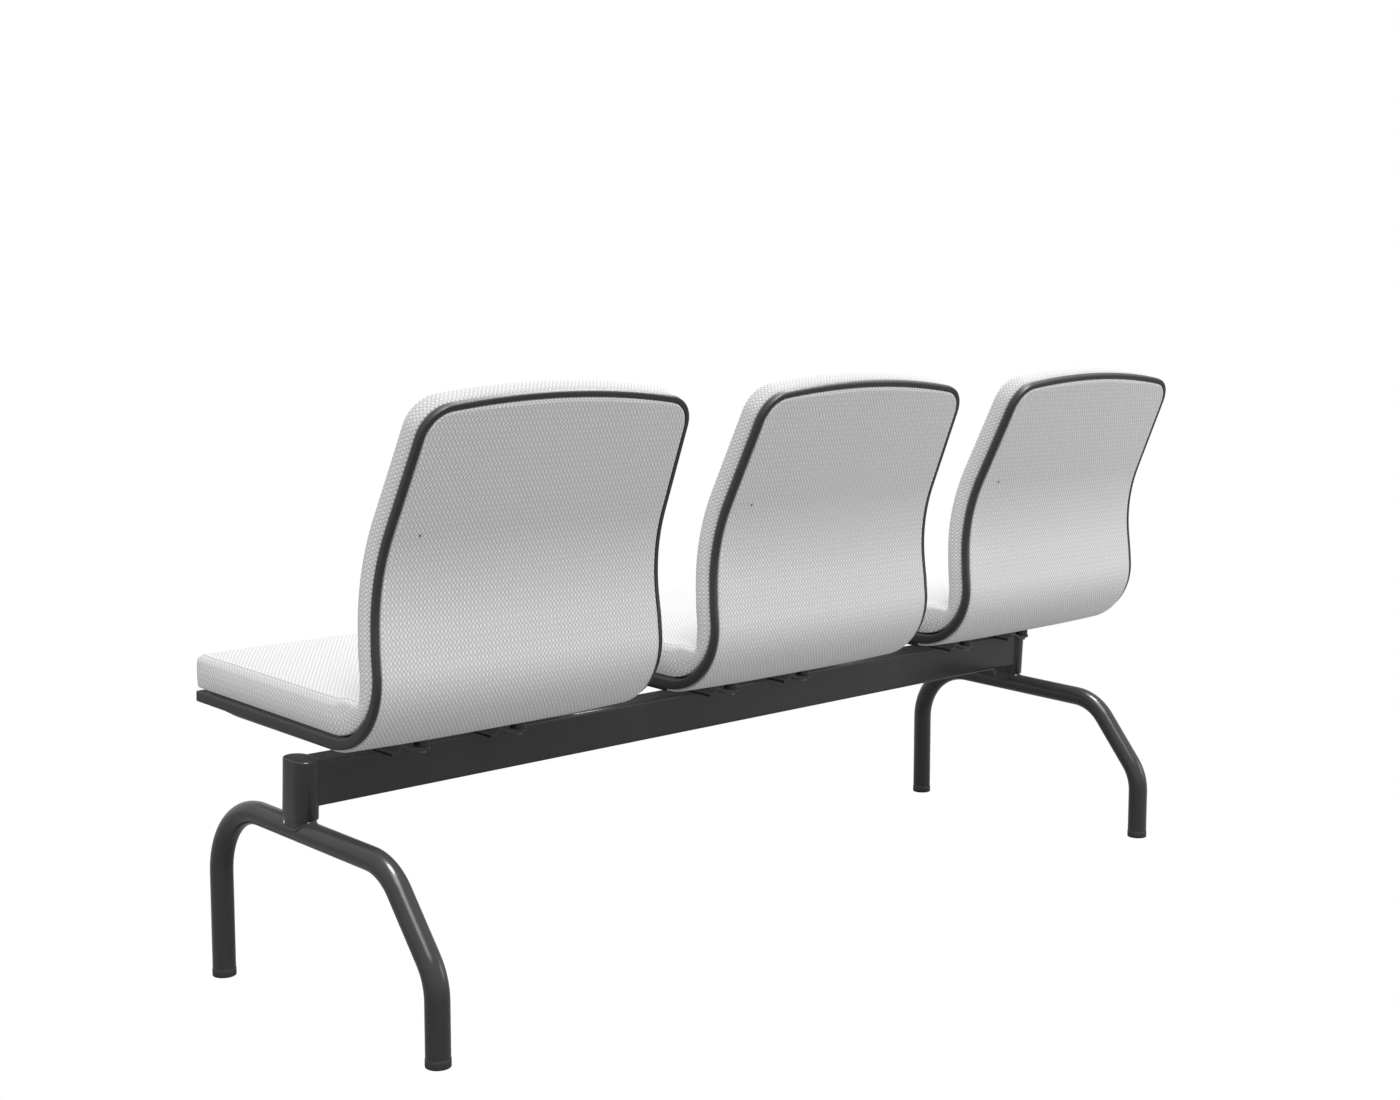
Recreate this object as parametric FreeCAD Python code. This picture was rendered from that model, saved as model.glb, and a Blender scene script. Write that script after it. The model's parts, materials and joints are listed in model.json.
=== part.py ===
import FreeCAD
import Part
import math
import os

# Beam seating: three upholstered seats on one steel beam, carried by two bent tube legs.
# Millimetres, +Z up, floor at Z = 0. People sit facing -Y. "Left" is +X, "right" is -X.
# Seats, brackets, beam and posts share a frame that is tilted back about the beam centre:
# x along the beam, u to the rear, v square to both. The legs stand in the plain frame.

# Legs: round tube, bent three times
LEG_SPACING = 1546.2
LEG_TUBE_R = 16.0
LEG_WALL = 2.5
LEG_FRONT_HEIGHT = 252.8
LEG_KNEE_HEIGHT = 109.3
LEG_TOP_RUN = 389.3
FOOT_SPREAD = 485.1
LEG_FRONT_BEND_R = 100.0
LEG_REAR_BEND_R = 80.0
SEAT_TILT = 2.92

# Feet: plastic plugs in the tube ends
FOOT_R = 16.5
FOOT_HEIGHT = 11.5
FOOT_EDGE_R = 1.0
FOOT_PLUG_LENGTH = 20.0
FIT_CLEARANCE = 0.1

# Beam: rectangular tube
BEAM_HEIGHT = 60.0
BEAM_DEPTH = 45.0
BEAM_WALL = 3.0
BEAM_CORNER_R = 3.0
BEAM_ALONG_LEG = 197.4
BEAM_ABOVE_LEG = 64.5

# Posts: upright oval tubes between the legs and the beam ends
POST_DEPTH = 56.0
POST_WIDTH = 36.0
POST_WALL = 2.5
POST_DROP = 46.7
POST_CAP_HEIGHT = 2.7
POST_CAP_EDGE_SHARE = 0.67
CAP_SPIGOT_LENGTH = 12.0
SLEEVE_WALL = 3.0
SLEEVE_IN_POST = 22.0

# Brackets: folded sheet welded across the beam, two to a seat
SHEET = 4.0
BRACKET_DEPTH = 118.0
BRACKET_EAR_R = 12.5
BRACKET_RAMP_START = 21.0
BRACKET_RIDGE = 40.5
BRACKET_RIDGE_RISE = 8.4
BRACKET_VALLEY = 50.0
BRACKET_LIP_END = 57.5
BRACKET_BEND_R = 3.0
BRACKET_NOTCH = 2.0
BRACKET_NOTCH_R = 5.0
BOLT_HOLE_R = 4.5

# Bolts, spacers and threaded inserts
BOLT_R = 3.9
BOLT_LENGTH = 34.0
BOLT_TIP_ROOM = 1.0
BOLT_HEAD_FLATS = 13.0
BOLT_HEAD_HEIGHT = 5.5
SPACER_R = 11.0
SPACER_HEIGHT = 13.0
INSERT_R = 6.0
INSERT_BORE_R = 4.0
INSERT_LENGTH = 16.0

# Seats
SEAT_PITCH = 595.6
ROW_OFFSET = -66.0
SEAT_NAMES = ["left", "middle", "right"]
BOLT_SPACING = 167.0

# Seat shell: a tray open to the rear. Its outer line runs front edge, seat bend, lumbar, top.
SHELL_FRONT = -264.0
SHELL_BOTTOM = 58.5
SEAT_BEND = 181.0
SEAT_BEND_R = 100.0
LUMBAR_U = 150.2
LUMBAR_HEIGHT = 227.5
LUMBAR_R = 250.0
BACK_LEAN = 21.2
BACK_LENGTH = 253.0
SHELL_WALL = 5.0
RIM_DEPTH_SEAT = 15.0
RIM_DEPTH_BACK = 10.0
RIM_WIDTH = 7.5
HALF_WIDTH_FRONT = 241.0
HALF_WIDTH_BEND = 245.3
HALF_WIDTH_LUMBAR = 240.0
HALF_WIDTH_TOP = 223.0
FRONT_CORNER_R = 3.0
TOP_CORNER_R = 48.0
TOP_ARCH_R = 1297.0
BOSS_R = 11.0

# Under cover: plastic pan below the seat
COVER_WALL = 3.0
COVER_REAR = 58.0
COVER_SLOPE = 12.0
COVER_FRONT_GAP = 14.0
COVER_SIDE_GAP = 2.0

# Front cushion: one piece over seat and back
PAD_GROOVE = 3.5
PAD_SHADOW = 14.0
PAD_OVERHANG = 5.6
PAD_THICK_SEAT = 48.0
PAD_THICK_BACK = 33.0
PAD_EDGE_R = 10.0
PAD_DRAW_IN = 3.0
PAD_CROWN = 5.0
PAD_CORNER_SOFT = 5.0
PAD_END_STEPS = (0.1, 0.4, 1.0)

# Rear upholstered panel, inside the rim
PANEL_PROUD_BACK = 2.5
PANEL_PROUD_BEND = 6.0
PANEL_CROWN = 3.0
PANEL_CROWN_FADE = 0.7
PANEL_EDGE_R = 2.0
PANEL_CHAMFER = 1.0
PANEL_END_STEPS = (0.3, 1.0)

# Both soft pieces: a gap to the plastic, and how their edges and ends are drawn in
SOFT_GAP = 0.3
SOFT_BULGE = 0.4
SIDE_TOP_DRAW = 0.3
END_LIFT = 0.3
END_NARROW = 0.5
TOP_CORNER_STEPS = (0.0, 0.35, 0.65, 0.85, 1.0)

# Small plug in each rear panel
PLUG_FROM_SIDE = 52.0
PLUG_HEIGHT_SHARE = 0.245
PLUG_R = 1.2
PLUG_LENGTH = 5.0
PLUG_PROUD = 0.3

# Steps and tolerances of the construction
ARC_STEP = 5.0
TINY = 0.01
FULL_ROUND_ROOM = 0.05


def vec(x, y, z):
    return FreeCAD.Vector(x, y, z)


def line(a, b):
    return Part.LineSegment(a, b).toShape()


def arc(a, m, b):
    return Part.Arc(a, m, b).toShape()


def sub(a, b):
    return (a[0] - b[0], a[1] - b[1])


def shift(p, d, k):
    return (p[0] + d[0] * k, p[1] + d[1] * k)


def unit(d):
    size = math.hypot(d[0], d[1])
    return (d[0] / size, d[1] / size)


def left_of(d):
    return (-d[1], d[0])


def crossing(p, d, q, e):
    """The point where the line p + k d meets the line q + m e."""
    k = ((q[0] - p[0]) * e[1] - (q[1] - p[1]) * e[0]) / (d[0] * e[1] - d[1] * e[0])
    return shift(p, d, k)


class Track:
    """A flat line of straight runs joined by tangent arcs."""

    def __init__(self, corners, radii):
        self.corners = corners
        self.radii = radii
        self.spans = []
        start = corners[0]
        for i, radius in enumerate(radii):
            d = unit(sub(corners[i + 1], corners[i]))
            e = unit(sub(corners[i + 2], corners[i + 1]))
            turn = math.atan2(d[0] * e[1] - d[1] * e[0], d[0] * e[0] + d[1] * e[1])
            reach = radius * math.tan(abs(turn) / 2)
            a = shift(corners[i + 1], d, -reach)
            b = shift(corners[i + 1], e, reach)
            centre = shift(a, left_of(d), math.copysign(radius, turn))
            self.spans.append(("line", start, a, d, None, 0.0, 0.0))
            self.spans.append(("arc", a, b, d, centre, radius, turn))
            start = b
        last = unit(sub(corners[-1], corners[-2]))
        self.spans.append(("line", start, corners[-1], last, None, 0.0, 0.0))

    def offset(self, gaps):
        """The same line moved to its left, by one gap for each straight run."""
        runs = []
        for i, gap in enumerate(gaps):
            d = unit(sub(self.corners[i + 1], self.corners[i]))
            runs.append((shift(self.corners[i], left_of(d), gap), d))
        corners = [runs[0][0]]
        for (p, d), (q, e) in zip(runs, runs[1:]):
            corners.append(crossing(p, d, q, e))
        end = self.corners[-1]
        corners.append(shift(end, left_of(runs[-1][1]), gaps[-1]))
        radii = []
        for i, radius in enumerate(self.radii):
            turn = self.spans[2 * i + 1][6]
            radii.append(radius - math.copysign(1, turn) * (gaps[i] + gaps[i + 1]) / 2)
        return Track(corners, radii)

    def span_length(self, span):
        if span[0] == "line":
            return math.hypot(*sub(span[2], span[1]))
        return abs(span[5] * span[6])

    def length(self):
        return sum(self.span_length(span) for span in self.spans)

    def at(self, s):
        """Point and left-hand normal at the distance s along the line."""
        for span in self.spans:
            size = self.span_length(span)
            if s <= size or span is self.spans[-1]:
                break
            s -= size
        kind, a, _, d, centre, radius, turn = span
        if kind == "line":
            return shift(a, d, s), left_of(d)
        angle = math.copysign(s / radius, turn)
        d = (d[0] * math.cos(angle) - d[1] * math.sin(angle),
             d[0] * math.sin(angle) + d[1] * math.cos(angle))
        return shift(centre, left_of(d), -math.copysign(radius, turn)), left_of(d)

    def edges(self, place):
        """Edges of the line; place turns a flat point into a point in space."""
        made = []
        for span in self.spans:
            if span[0] == "line":
                made.append(line(place(span[1]), place(span[2])))
            else:
                centre, radius = span[4], span[5]
                middle = unit(sub(shift(span[1], sub(span[2], span[1]), 0.5), centre))
                made.append(arc(place(span[1]), place(shift(centre, middle, radius)), place(span[2])))
        return made


def slab(lower, upper, place, depth):
    """Solid between two tracks; place turns a flat point into a point in space."""
    edges = lower.edges(place)
    edges.append(line(place(lower.corners[-1]), place(upper.corners[-1])))
    edges += upper.edges(place)
    edges.append(line(place(upper.corners[0]), place(lower.corners[0])))
    return Part.Face(Part.Wire(Part.__sortEdges__(edges))).extrude(depth)


def solid_between(lower, upper, half_width):
    """A slab between two tracks in the u, v plane, centred on x = 0."""
    return slab(lower, upper, lambda p: vec(-half_width, p[0], p[1]), vec(2 * half_width, 0, 0))


def oval(depth, width, low, high):
    """An upright solid of stadium section, long in u, from v = low to v = high."""
    r = width / 2
    straight = depth / 2 - r
    corners = [vec(r, -straight, low), vec(r, straight, low), vec(-r, straight, low), vec(-r, -straight, low)]
    edges = [line(corners[0], corners[1]),
             arc(corners[1], vec(0, straight + r, low), corners[2]),
             line(corners[2], corners[3]),
             arc(corners[3], vec(0, -straight - r, low), corners[0])]
    return Part.Face(Part.Wire(edges)).extrude(vec(0, 0, high - low))


def rounded_box(x_size, u_size, v_size, r):
    """A beam-like block along x with four rounded long edges, centred on the origin."""
    block = Part.makeBox(x_size, u_size, v_size, vec(-x_size / 2, -u_size / 2, -v_size / 2))
    if r <= 0:
        return block
    long_edges = [e for e in block.Edges if abs(e.BoundBox.XLength - x_size) < TINY]
    return block.makeFillet(r, long_edges)


# Places shared by the pieces
TILT = math.radians(SEAT_TILT)
BEAM_Y = BEAM_ALONG_LEG * math.cos(TILT) + BEAM_ABOVE_LEG * math.sin(TILT)
BEAM_Z = LEG_FRONT_HEIGHT - BEAM_ALONG_LEG * math.sin(TILT) + BEAM_ABOVE_LEG * math.cos(TILT)
BEAM_TOP = BEAM_HEIGHT / 2
PLATE_TOP = BEAM_TOP + SHEET
SEAT_UNDERSIDE = PLATE_TOP + SPACER_HEIGHT
BOLT_U = BRACKET_DEPTH / 2 - BRACKET_EAR_R
SEAT_X = [ROW_OFFSET + SEAT_PITCH * (1 - i) for i in range(len(SEAT_NAMES))]
LEG_X = {"left": LEG_SPACING / 2, "right": -LEG_SPACING / 2}

# The origin is the middle of the whole bench at floor level
ROW_X_MAX = max(LEG_X["left"] + POST_WIDTH / 2, SEAT_X[0] + HALF_WIDTH_BEND)
ROW_X_MIN = min(LEG_X["right"] - POST_WIDTH / 2, SEAT_X[-1] - HALF_WIDTH_BEND)
PAD_FRONT_U = SHELL_FRONT - PAD_OVERHANG


def world(u, v):
    """Y and Z, before the origin is set, of a point in the tilted frame."""
    return (BEAM_Y + u * math.cos(TILT) + v * math.sin(TILT),
            BEAM_Z - u * math.sin(TILT) + v * math.cos(TILT))


PAD_TOP_V = SHELL_BOTTOM + RIM_DEPTH_SEAT + SOFT_GAP + PAD_GROOVE + PAD_THICK_SEAT
ROW_Y_MIN = world(PAD_FRONT_U, PAD_TOP_V - PAD_EDGE_R)[0]
ROW_Y_MAX = FOOT_SPREAD + FOOT_R
ORIGIN = vec(-(ROW_X_MAX + ROW_X_MIN) / 2, -(ROW_Y_MAX + ROW_Y_MIN) / 2, 0)


def tilted(shape, x):
    """The shape moved from the tilted frame, at x along the beam, to the bench's own frame."""
    turn = FreeCAD.Rotation(vec(1, 0, 0), -SEAT_TILT)
    moved = shape.copy()
    moved.Placement = FreeCAD.Placement(vec(x, BEAM_Y, BEAM_Z) + ORIGIN, turn)
    return moved


def upright(shape):
    moved = shape.copy()
    moved.translate(ORIGIN)
    return moved


# Legs and feet

def leg_line(x):
    """Centre line of one leg, from the front foot to the rear foot."""
    knee_y = LEG_TOP_RUN
    knee_z = LEG_FRONT_HEIGHT - LEG_TOP_RUN * math.tan(TILT)
    corners = [(0.0, FOOT_HEIGHT), (0.0, LEG_FRONT_HEIGHT), (knee_y, knee_z),
               (FOOT_SPREAD, LEG_KNEE_HEIGHT), (FOOT_SPREAD, FOOT_HEIGHT)]
    track = Track(corners, [LEG_FRONT_BEND_R, LEG_REAR_BEND_R, LEG_REAR_BEND_R])
    return Part.Wire(track.edges(lambda p: vec(x, p[0], p[1])))


def make_leg(x):
    path = leg_line(x)
    tubes = []
    for radius in (LEG_TUBE_R, LEG_TUBE_R - LEG_WALL):
        ring = Part.Wire(Part.makeCircle(radius, vec(x, 0, FOOT_HEIGHT), vec(0, 0, 1)))
        tubes.append(path.makePipeShell([ring], True, False))
    return tubes[0].cut(tubes[1])


def make_foot(x, y):
    base = Part.makeCylinder(FOOT_R, FOOT_HEIGHT, vec(x, y, 0))
    rims = [e for e in base.Edges if e.BoundBox.ZLength < TINY]
    base = base.makeFillet(FOOT_EDGE_R, rims)
    plug_r = LEG_TUBE_R - LEG_WALL - FIT_CLEARANCE
    plug = Part.makeCylinder(plug_r, FOOT_PLUG_LENGTH, vec(x, y, FOOT_HEIGHT))
    return base.fuse(plug)


# Beam, posts, sleeves and caps, in the tilted frame

def make_beam():
    outer = rounded_box(LEG_SPACING, BEAM_DEPTH, BEAM_HEIGHT, BEAM_CORNER_R)
    inner = rounded_box(LEG_SPACING + POST_WIDTH, BEAM_DEPTH - 2 * BEAM_WALL, BEAM_HEIGHT - 2 * BEAM_WALL,
                        max(BEAM_CORNER_R - BEAM_WALL, 0))
    beam = outer.cut(inner)
    for x in LEG_X.values():
        post = oval(POST_DEPTH, POST_WIDTH, -BEAM_HEIGHT, BEAM_HEIGHT)
        post.translate(vec(x, 0, 0))
        beam = beam.cut(post)
    pieces = sorted(beam.Solids, key=lambda s: s.Volume)
    return pieces[-1]


def make_post():
    outer = oval(POST_DEPTH, POST_WIDTH, -POST_DROP, BEAM_TOP)
    inner = oval(POST_DEPTH - 2 * POST_WALL, POST_WIDTH - 2 * POST_WALL, -POST_DROP, BEAM_TOP)
    return outer.cut(inner)


def make_post_cap():
    plate = oval(POST_DEPTH, POST_WIDTH, BEAM_TOP, BEAM_TOP + POST_CAP_HEIGHT)
    top = BEAM_TOP + POST_CAP_HEIGHT
    rim = [e for e in plate.Edges if abs(e.BoundBox.ZMin - top) < TINY]
    plate = plate.makeFillet(POST_CAP_HEIGHT * POST_CAP_EDGE_SHARE, rim)
    inside = 2 * (POST_WALL + FIT_CLEARANCE)
    spigot = oval(POST_DEPTH - inside, POST_WIDTH - inside, BEAM_TOP - CAP_SPIGOT_LENGTH, BEAM_TOP)
    return plate.fuse(spigot)


def make_sleeve():
    inside = 2 * (POST_WALL + FIT_CLEARANCE)
    depth, width = POST_DEPTH - inside, POST_WIDTH - inside
    top = SLEEVE_IN_POST - POST_DROP
    outer = oval(depth, width, -BEAM_ABOVE_LEG, top)
    inner = oval(depth - 2 * SLEEVE_WALL, width - 2 * SLEEVE_WALL, -BEAM_ABOVE_LEG, top)
    start = vec(0, -POST_DEPTH, -BEAM_ABOVE_LEG)
    tube = Part.makeCylinder(LEG_TUBE_R, 2 * POST_DEPTH, start, vec(0, 1, 0))
    return outer.cut(inner).cut(tube)


# Brackets and fasteners, in the tilted frame with the bolt axis at x = 0

def bracket_track():
    corners = [(-BRACKET_EAR_R, BEAM_TOP), (BRACKET_RAMP_START, BEAM_TOP),
               (BRACKET_RIDGE, BEAM_TOP + BRACKET_RIDGE_RISE), (BRACKET_VALLEY, BEAM_TOP),
               (BRACKET_LIP_END, BEAM_TOP)]
    radii = [BRACKET_BEND_R + SHEET, BRACKET_BEND_R, BRACKET_BEND_R + SHEET]
    return Track(corners, radii)


def make_bracket():
    lower = bracket_track()
    upper = lower.offset([SHEET] * 4)
    sheet = slab(lower, upper, lambda p: vec(p[0], -BRACKET_DEPTH / 2, p[1]), vec(0, BRACKET_DEPTH, 0))
    ends = [e for e in sheet.Edges
            if e.BoundBox.XMax < -BRACKET_EAR_R + TINY and e.BoundBox.YLength < TINY]
    sheet = sheet.makeFillet(BRACKET_EAR_R - FULL_ROUND_ROOM, ends)
    notch_half = BOLT_U - BRACKET_EAR_R
    notch = Part.makeBox(2 * BRACKET_EAR_R, 2 * notch_half, 2 * SHEET,
                         vec(-BRACKET_NOTCH - 2 * BRACKET_EAR_R, -notch_half, BEAM_TOP - SHEET / 2))
    inner = [e for e in notch.Edges
             if abs(e.BoundBox.XMin + BRACKET_NOTCH) < TINY and e.BoundBox.ZLength > SHEET]
    notch = notch.makeFillet(BRACKET_NOTCH_R, inner)
    sheet = sheet.cut(notch)
    for u in (-BOLT_U, BOLT_U):
        sheet = sheet.cut(Part.makeCylinder(BOLT_HOLE_R, 3 * SHEET, vec(0, u, BEAM_TOP - SHEET)))
    return sheet


def make_bolt(x, u):
    size = BOLT_HEAD_FLATS / math.sqrt(3)
    corners = []
    for i in range(7):
        angle = math.radians(60 * i)
        corners.append(vec(x + size * math.cos(angle), u + size * math.sin(angle),
                           BEAM_TOP - BOLT_HEAD_HEIGHT))
    head = Part.Face(Part.makePolygon(corners)).extrude(vec(0, 0, BOLT_HEAD_HEIGHT))
    shank = Part.makeCylinder(BOLT_R, BOLT_LENGTH, vec(x, u, BEAM_TOP))
    return head.fuse(shank)


def make_spacer(x, u):
    outer = Part.makeCylinder(SPACER_R, SPACER_HEIGHT, vec(x, u, PLATE_TOP))
    return outer.cut(Part.makeCylinder(BOLT_HOLE_R, SPACER_HEIGHT, vec(x, u, PLATE_TOP)))


def make_insert(x, u):
    outer = Part.makeCylinder(INSERT_R, INSERT_LENGTH, vec(x, u, SEAT_UNDERSIDE))
    return outer.cut(Part.makeCylinder(INSERT_BORE_R, INSERT_LENGTH, vec(x, u, SEAT_UNDERSIDE)))


BOLT_PLACES = [(side * BOLT_SPACING / 2, u) for side in (1, -1) for u in (-BOLT_U, BOLT_U)]


def group(maker):
    """One piece at each bolt of a seat, kept as separate solids."""
    return Part.makeCompound([maker(x, u) for x, u in BOLT_PLACES])


# Seat shell outline

LEAN = math.radians(BACK_LEAN)
LUMBAR_V = SHELL_BOTTOM + LUMBAR_HEIGHT
BACK_DIR = (math.sin(LEAN), math.cos(LEAN))
BACK_NORMAL = left_of(BACK_DIR)
MARGIN = 30.0
OUTER = Track([(SHELL_FRONT - MARGIN, SHELL_BOTTOM), (SEAT_BEND, SHELL_BOTTOM), (LUMBAR_U, LUMBAR_V),
               shift((LUMBAR_U, LUMBAR_V), BACK_DIR, BACK_LENGTH + MARGIN)], [SEAT_BEND_R, LUMBAR_R])
BEND_START = math.hypot(*sub(OUTER.spans[0][2], OUTER.corners[0]))
BEND_END = BEND_START + OUTER.span_length(OUTER.spans[1])
LUMBAR_START = BEND_END + OUTER.span_length(OUTER.spans[2])
LUMBAR_END = LUMBAR_START + OUTER.span_length(OUTER.spans[3])
TOP_AT = OUTER.length() - MARGIN
FRONT_AT = MARGIN
BEND_TURN = OUTER.spans[1][6]
WIDE = 2 * HALF_WIDTH_BEND


def on_back(x, s, n=0.0):
    """A point on the straight back: x across, s up from the lumbar corner, n to the front."""
    p = shift(shift((LUMBAR_U, LUMBAR_V), BACK_DIR, s), BACK_NORMAL, n)
    return vec(x, p[0], p[1])


def side_at(s):
    """Half width of the back at the height s above the lumbar corner."""
    return HALF_WIDTH_LUMBAR - (HALF_WIDTH_LUMBAR - HALF_WIDTH_TOP) * s / BACK_LENGTH


def back_outline(inset):
    """Key points of the back seen square on, as (x, height above the lumbar corner)."""
    slope = math.atan((HALF_WIDTH_LUMBAR - HALF_WIDTH_TOP) / BACK_LENGTH)
    arch_r = TOP_ARCH_R - inset
    corner_r = TOP_CORNER_R - inset
    arch_centre = BACK_LENGTH - TOP_ARCH_R
    side_dir = (-math.sin(slope), math.cos(slope))
    side_point = shift((side_at(0), 0.0), left_of(side_dir), inset)
    centre_line = shift(side_point, left_of(side_dir), corner_r)
    reach = arch_r - corner_r
    along = centre_line[0] * side_dir[0] + (centre_line[1] - arch_centre) * side_dir[1]
    across = math.hypot(centre_line[0], centre_line[1] - arch_centre) ** 2 - reach ** 2
    centre = shift(centre_line, side_dir, -along + math.sqrt(along ** 2 - across))
    side_end = shift(centre, left_of(side_dir), -corner_r)
    out = unit((centre[0], centre[1] - arch_centre))
    arch_end = shift((0.0, arch_centre), out, arch_r)
    middle = unit((out[0] - left_of(side_dir)[0], out[1] - left_of(side_dir)[1]))
    return {"foot": shift(side_end, side_dir, -4 * BACK_LENGTH), "side_end": side_end,
            "corner": shift(centre, middle, corner_r), "arch_end": arch_end,
            "crest": (0.0, arch_centre + arch_r), "centre": centre, "corner_r": corner_r}


def outline(inset):
    """Solid that trims a seat layer to the seat's outline, less an inset all round."""
    key = back_outline(inset)
    deep = 3 * BACK_LENGTH

    def right(p):
        return on_back(p[0], p[1], -deep)

    def left(p):
        return on_back(-p[0], p[1], -deep)
    edges = [line(left(key["foot"]), right(key["foot"])),
             line(right(key["foot"]), right(key["side_end"])),
             arc(right(key["side_end"]), right(key["corner"]), right(key["arch_end"])),
             arc(right(key["arch_end"]), right(key["crest"]), left(key["arch_end"])),
             arc(left(key["arch_end"]), left(key["corner"]), left(key["side_end"])),
             line(left(key["side_end"]), left(key["foot"]))]
    back = Part.Face(Part.Wire(edges)).extrude(
        vec(0, BACK_NORMAL[0] * 2 * deep, BACK_NORMAL[1] * 2 * deep))
    front_u = SHELL_FRONT + inset
    a = HALF_WIDTH_FRONT - inset
    b = HALF_WIDTH_BEND - inset
    bend_u = OUTER.spans[0][2][0]
    low = -BACK_LENGTH
    corners = [vec(-b, bend_u, low), vec(-a, front_u, low), vec(a, front_u, low), vec(b, bend_u, low),
               vec(b, 2 * SEAT_BEND, low), vec(-b, 2 * SEAT_BEND, low), vec(-b, bend_u, low)]
    plan = Part.Face(Part.makePolygon(corners)).extrude(vec(0, 0, 4 * BACK_LENGTH))
    fronts = [e for e in plan.Edges
              if e.BoundBox.YMax < front_u + TINY and e.BoundBox.ZLength > BACK_LENGTH]
    plan = plan.makeFillet(FRONT_CORNER_R, fronts)
    return back.common(plan)


def half_width(p, inset=0.0):
    """Half width of the inset outline at a point of the outer line, round top corners included."""
    bend_u = OUTER.spans[0][2][0]
    share = (p[0] - SHELL_FRONT) / (bend_u - SHELL_FRONT)
    flat = HALF_WIDTH_FRONT + (HALF_WIDTH_BEND - HALF_WIDTH_FRONT) * min(share, 1.0)
    s = (p[0] - LUMBAR_U) * BACK_DIR[0] + (p[1] - LUMBAR_V) * BACK_DIR[1]
    key = back_outline(inset)
    if s <= key["side_end"][1]:
        return min(flat, side_at(s)) - inset
    if s >= key["arch_end"][1]:
        return key["arch_end"][0]
    rise = s - key["centre"][1]
    return key["centre"][0] + math.sqrt(key["corner_r"] ** 2 - rise ** 2)


def corner_places(inset):
    """Distances along the outer line that follow the round top corners."""
    key = back_outline(inset)
    low, high = key["side_end"][1], key["arch_end"][1]
    return [TOP_AT - BACK_LENGTH + low + (high - low) * share for share in TOP_CORNER_STEPS]


def make_shell():
    rim = OUTER.offset([RIM_DEPTH_SEAT, RIM_DEPTH_BACK, RIM_DEPTH_BACK])
    shell = solid_between(OUTER, rim, WIDE).common(outline(0))
    below = OUTER.offset([-MARGIN / 2] * 3)
    plate_rear = OUTER.offset([RIM_DEPTH_SEAT - SHELL_WALL] + [RIM_DEPTH_BACK - SHELL_WALL] * 2)
    shell = shell.cut(solid_between(below, plate_rear, WIDE).common(outline(RIM_WIDTH)))
    plate_v = SHELL_BOTTOM + RIM_DEPTH_SEAT - SHELL_WALL
    for x, u in BOLT_PLACES:
        boss = Part.makeCylinder(BOSS_R, plate_v - SEAT_UNDERSIDE, vec(x, u, SEAT_UNDERSIDE))
        shell = shell.fuse(boss)
    for x, u in BOLT_PLACES:
        shell = shell.cut(Part.makeCylinder(INSERT_R, INSERT_LENGTH, vec(x, u, SEAT_UNDERSIDE)))
        tip = BEAM_TOP + BOLT_LENGTH + BOLT_TIP_ROOM - SEAT_UNDERSIDE
        shell = shell.cut(Part.makeCylinder(INSERT_BORE_R, tip, vec(x, u, SEAT_UNDERSIDE)))
    return shell.removeSplitter()


def make_under_cover():
    """A shallow pan inside the rim, with holes for the four bosses."""
    room = RIM_WIDTH + SOFT_GAP
    top = SHELL_BOTTOM + RIM_DEPTH_SEAT - SHELL_WALL - SOFT_GAP
    rear = COVER_REAR
    front = SHELL_FRONT + room

    def ring(front_u, rear_u, side_front, side_rear, v):
        return Part.makePolygon([vec(-side_front, front_u, v), vec(side_front, front_u, v),
                                 vec(side_rear, rear_u, v), vec(-side_rear, rear_u, v),
                                 vec(-side_front, front_u, v)])

    def pan(wall):
        rings = []
        for front_gap, side_gap, v in ((COVER_FRONT_GAP, COVER_SLOPE, SEAT_UNDERSIDE + wall),
                                       (FRONT_CORNER_R, COVER_SIDE_GAP, SHELL_BOTTOM),
                                       (FRONT_CORNER_R, COVER_SIDE_GAP, top)):
            away = room + wall + side_gap
            rings.append(ring(front + front_gap + wall, rear - wall,
                              HALF_WIDTH_FRONT - away, HALF_WIDTH_BEND - away, v))
        return Part.makeLoft(rings, True, True)
    cover = pan(0.0).cut(pan(COVER_WALL))
    for x, u in BOLT_PLACES:
        place = vec(x, u, SEAT_UNDERSIDE)
        cover = cover.cut(Part.makeCylinder(BOSS_R + SOFT_GAP, top - SEAT_UNDERSIDE, place))
    return cover


def stations(first, last):
    """Distances along the outer line for the rings of a soft piece."""
    places = [first, last]
    for start, end, turn in ((BEND_START, BEND_END, BEND_TURN),
                             (LUMBAR_START, LUMBAR_END, OUTER.spans[3][6])):
        count = max(int(round(abs(math.degrees(turn)) / ARC_STEP)), 2)
        places += [start + (end - start) * i / count for i in range(count + 1)]
    return places


def rounding(distance, radius):
    """How far a rounded edge is drawn back at a distance from its end."""
    if distance >= radius:
        return 0.0
    return radius - math.sqrt(radius ** 2 - (radius - max(distance, 0.0)) ** 2)


def bend_share(s):
    """0 on the seat, 1 on the back, even in between."""
    return min(max((s - BEND_START) / (BEND_END - BEND_START), 0.0), 1.0)


def rim_depth(s):
    """Depth of the shell's rim, which gets shallower up the bend."""
    return RIM_DEPTH_SEAT + (RIM_DEPTH_BACK - RIM_DEPTH_SEAT) * bend_share(s)


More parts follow.
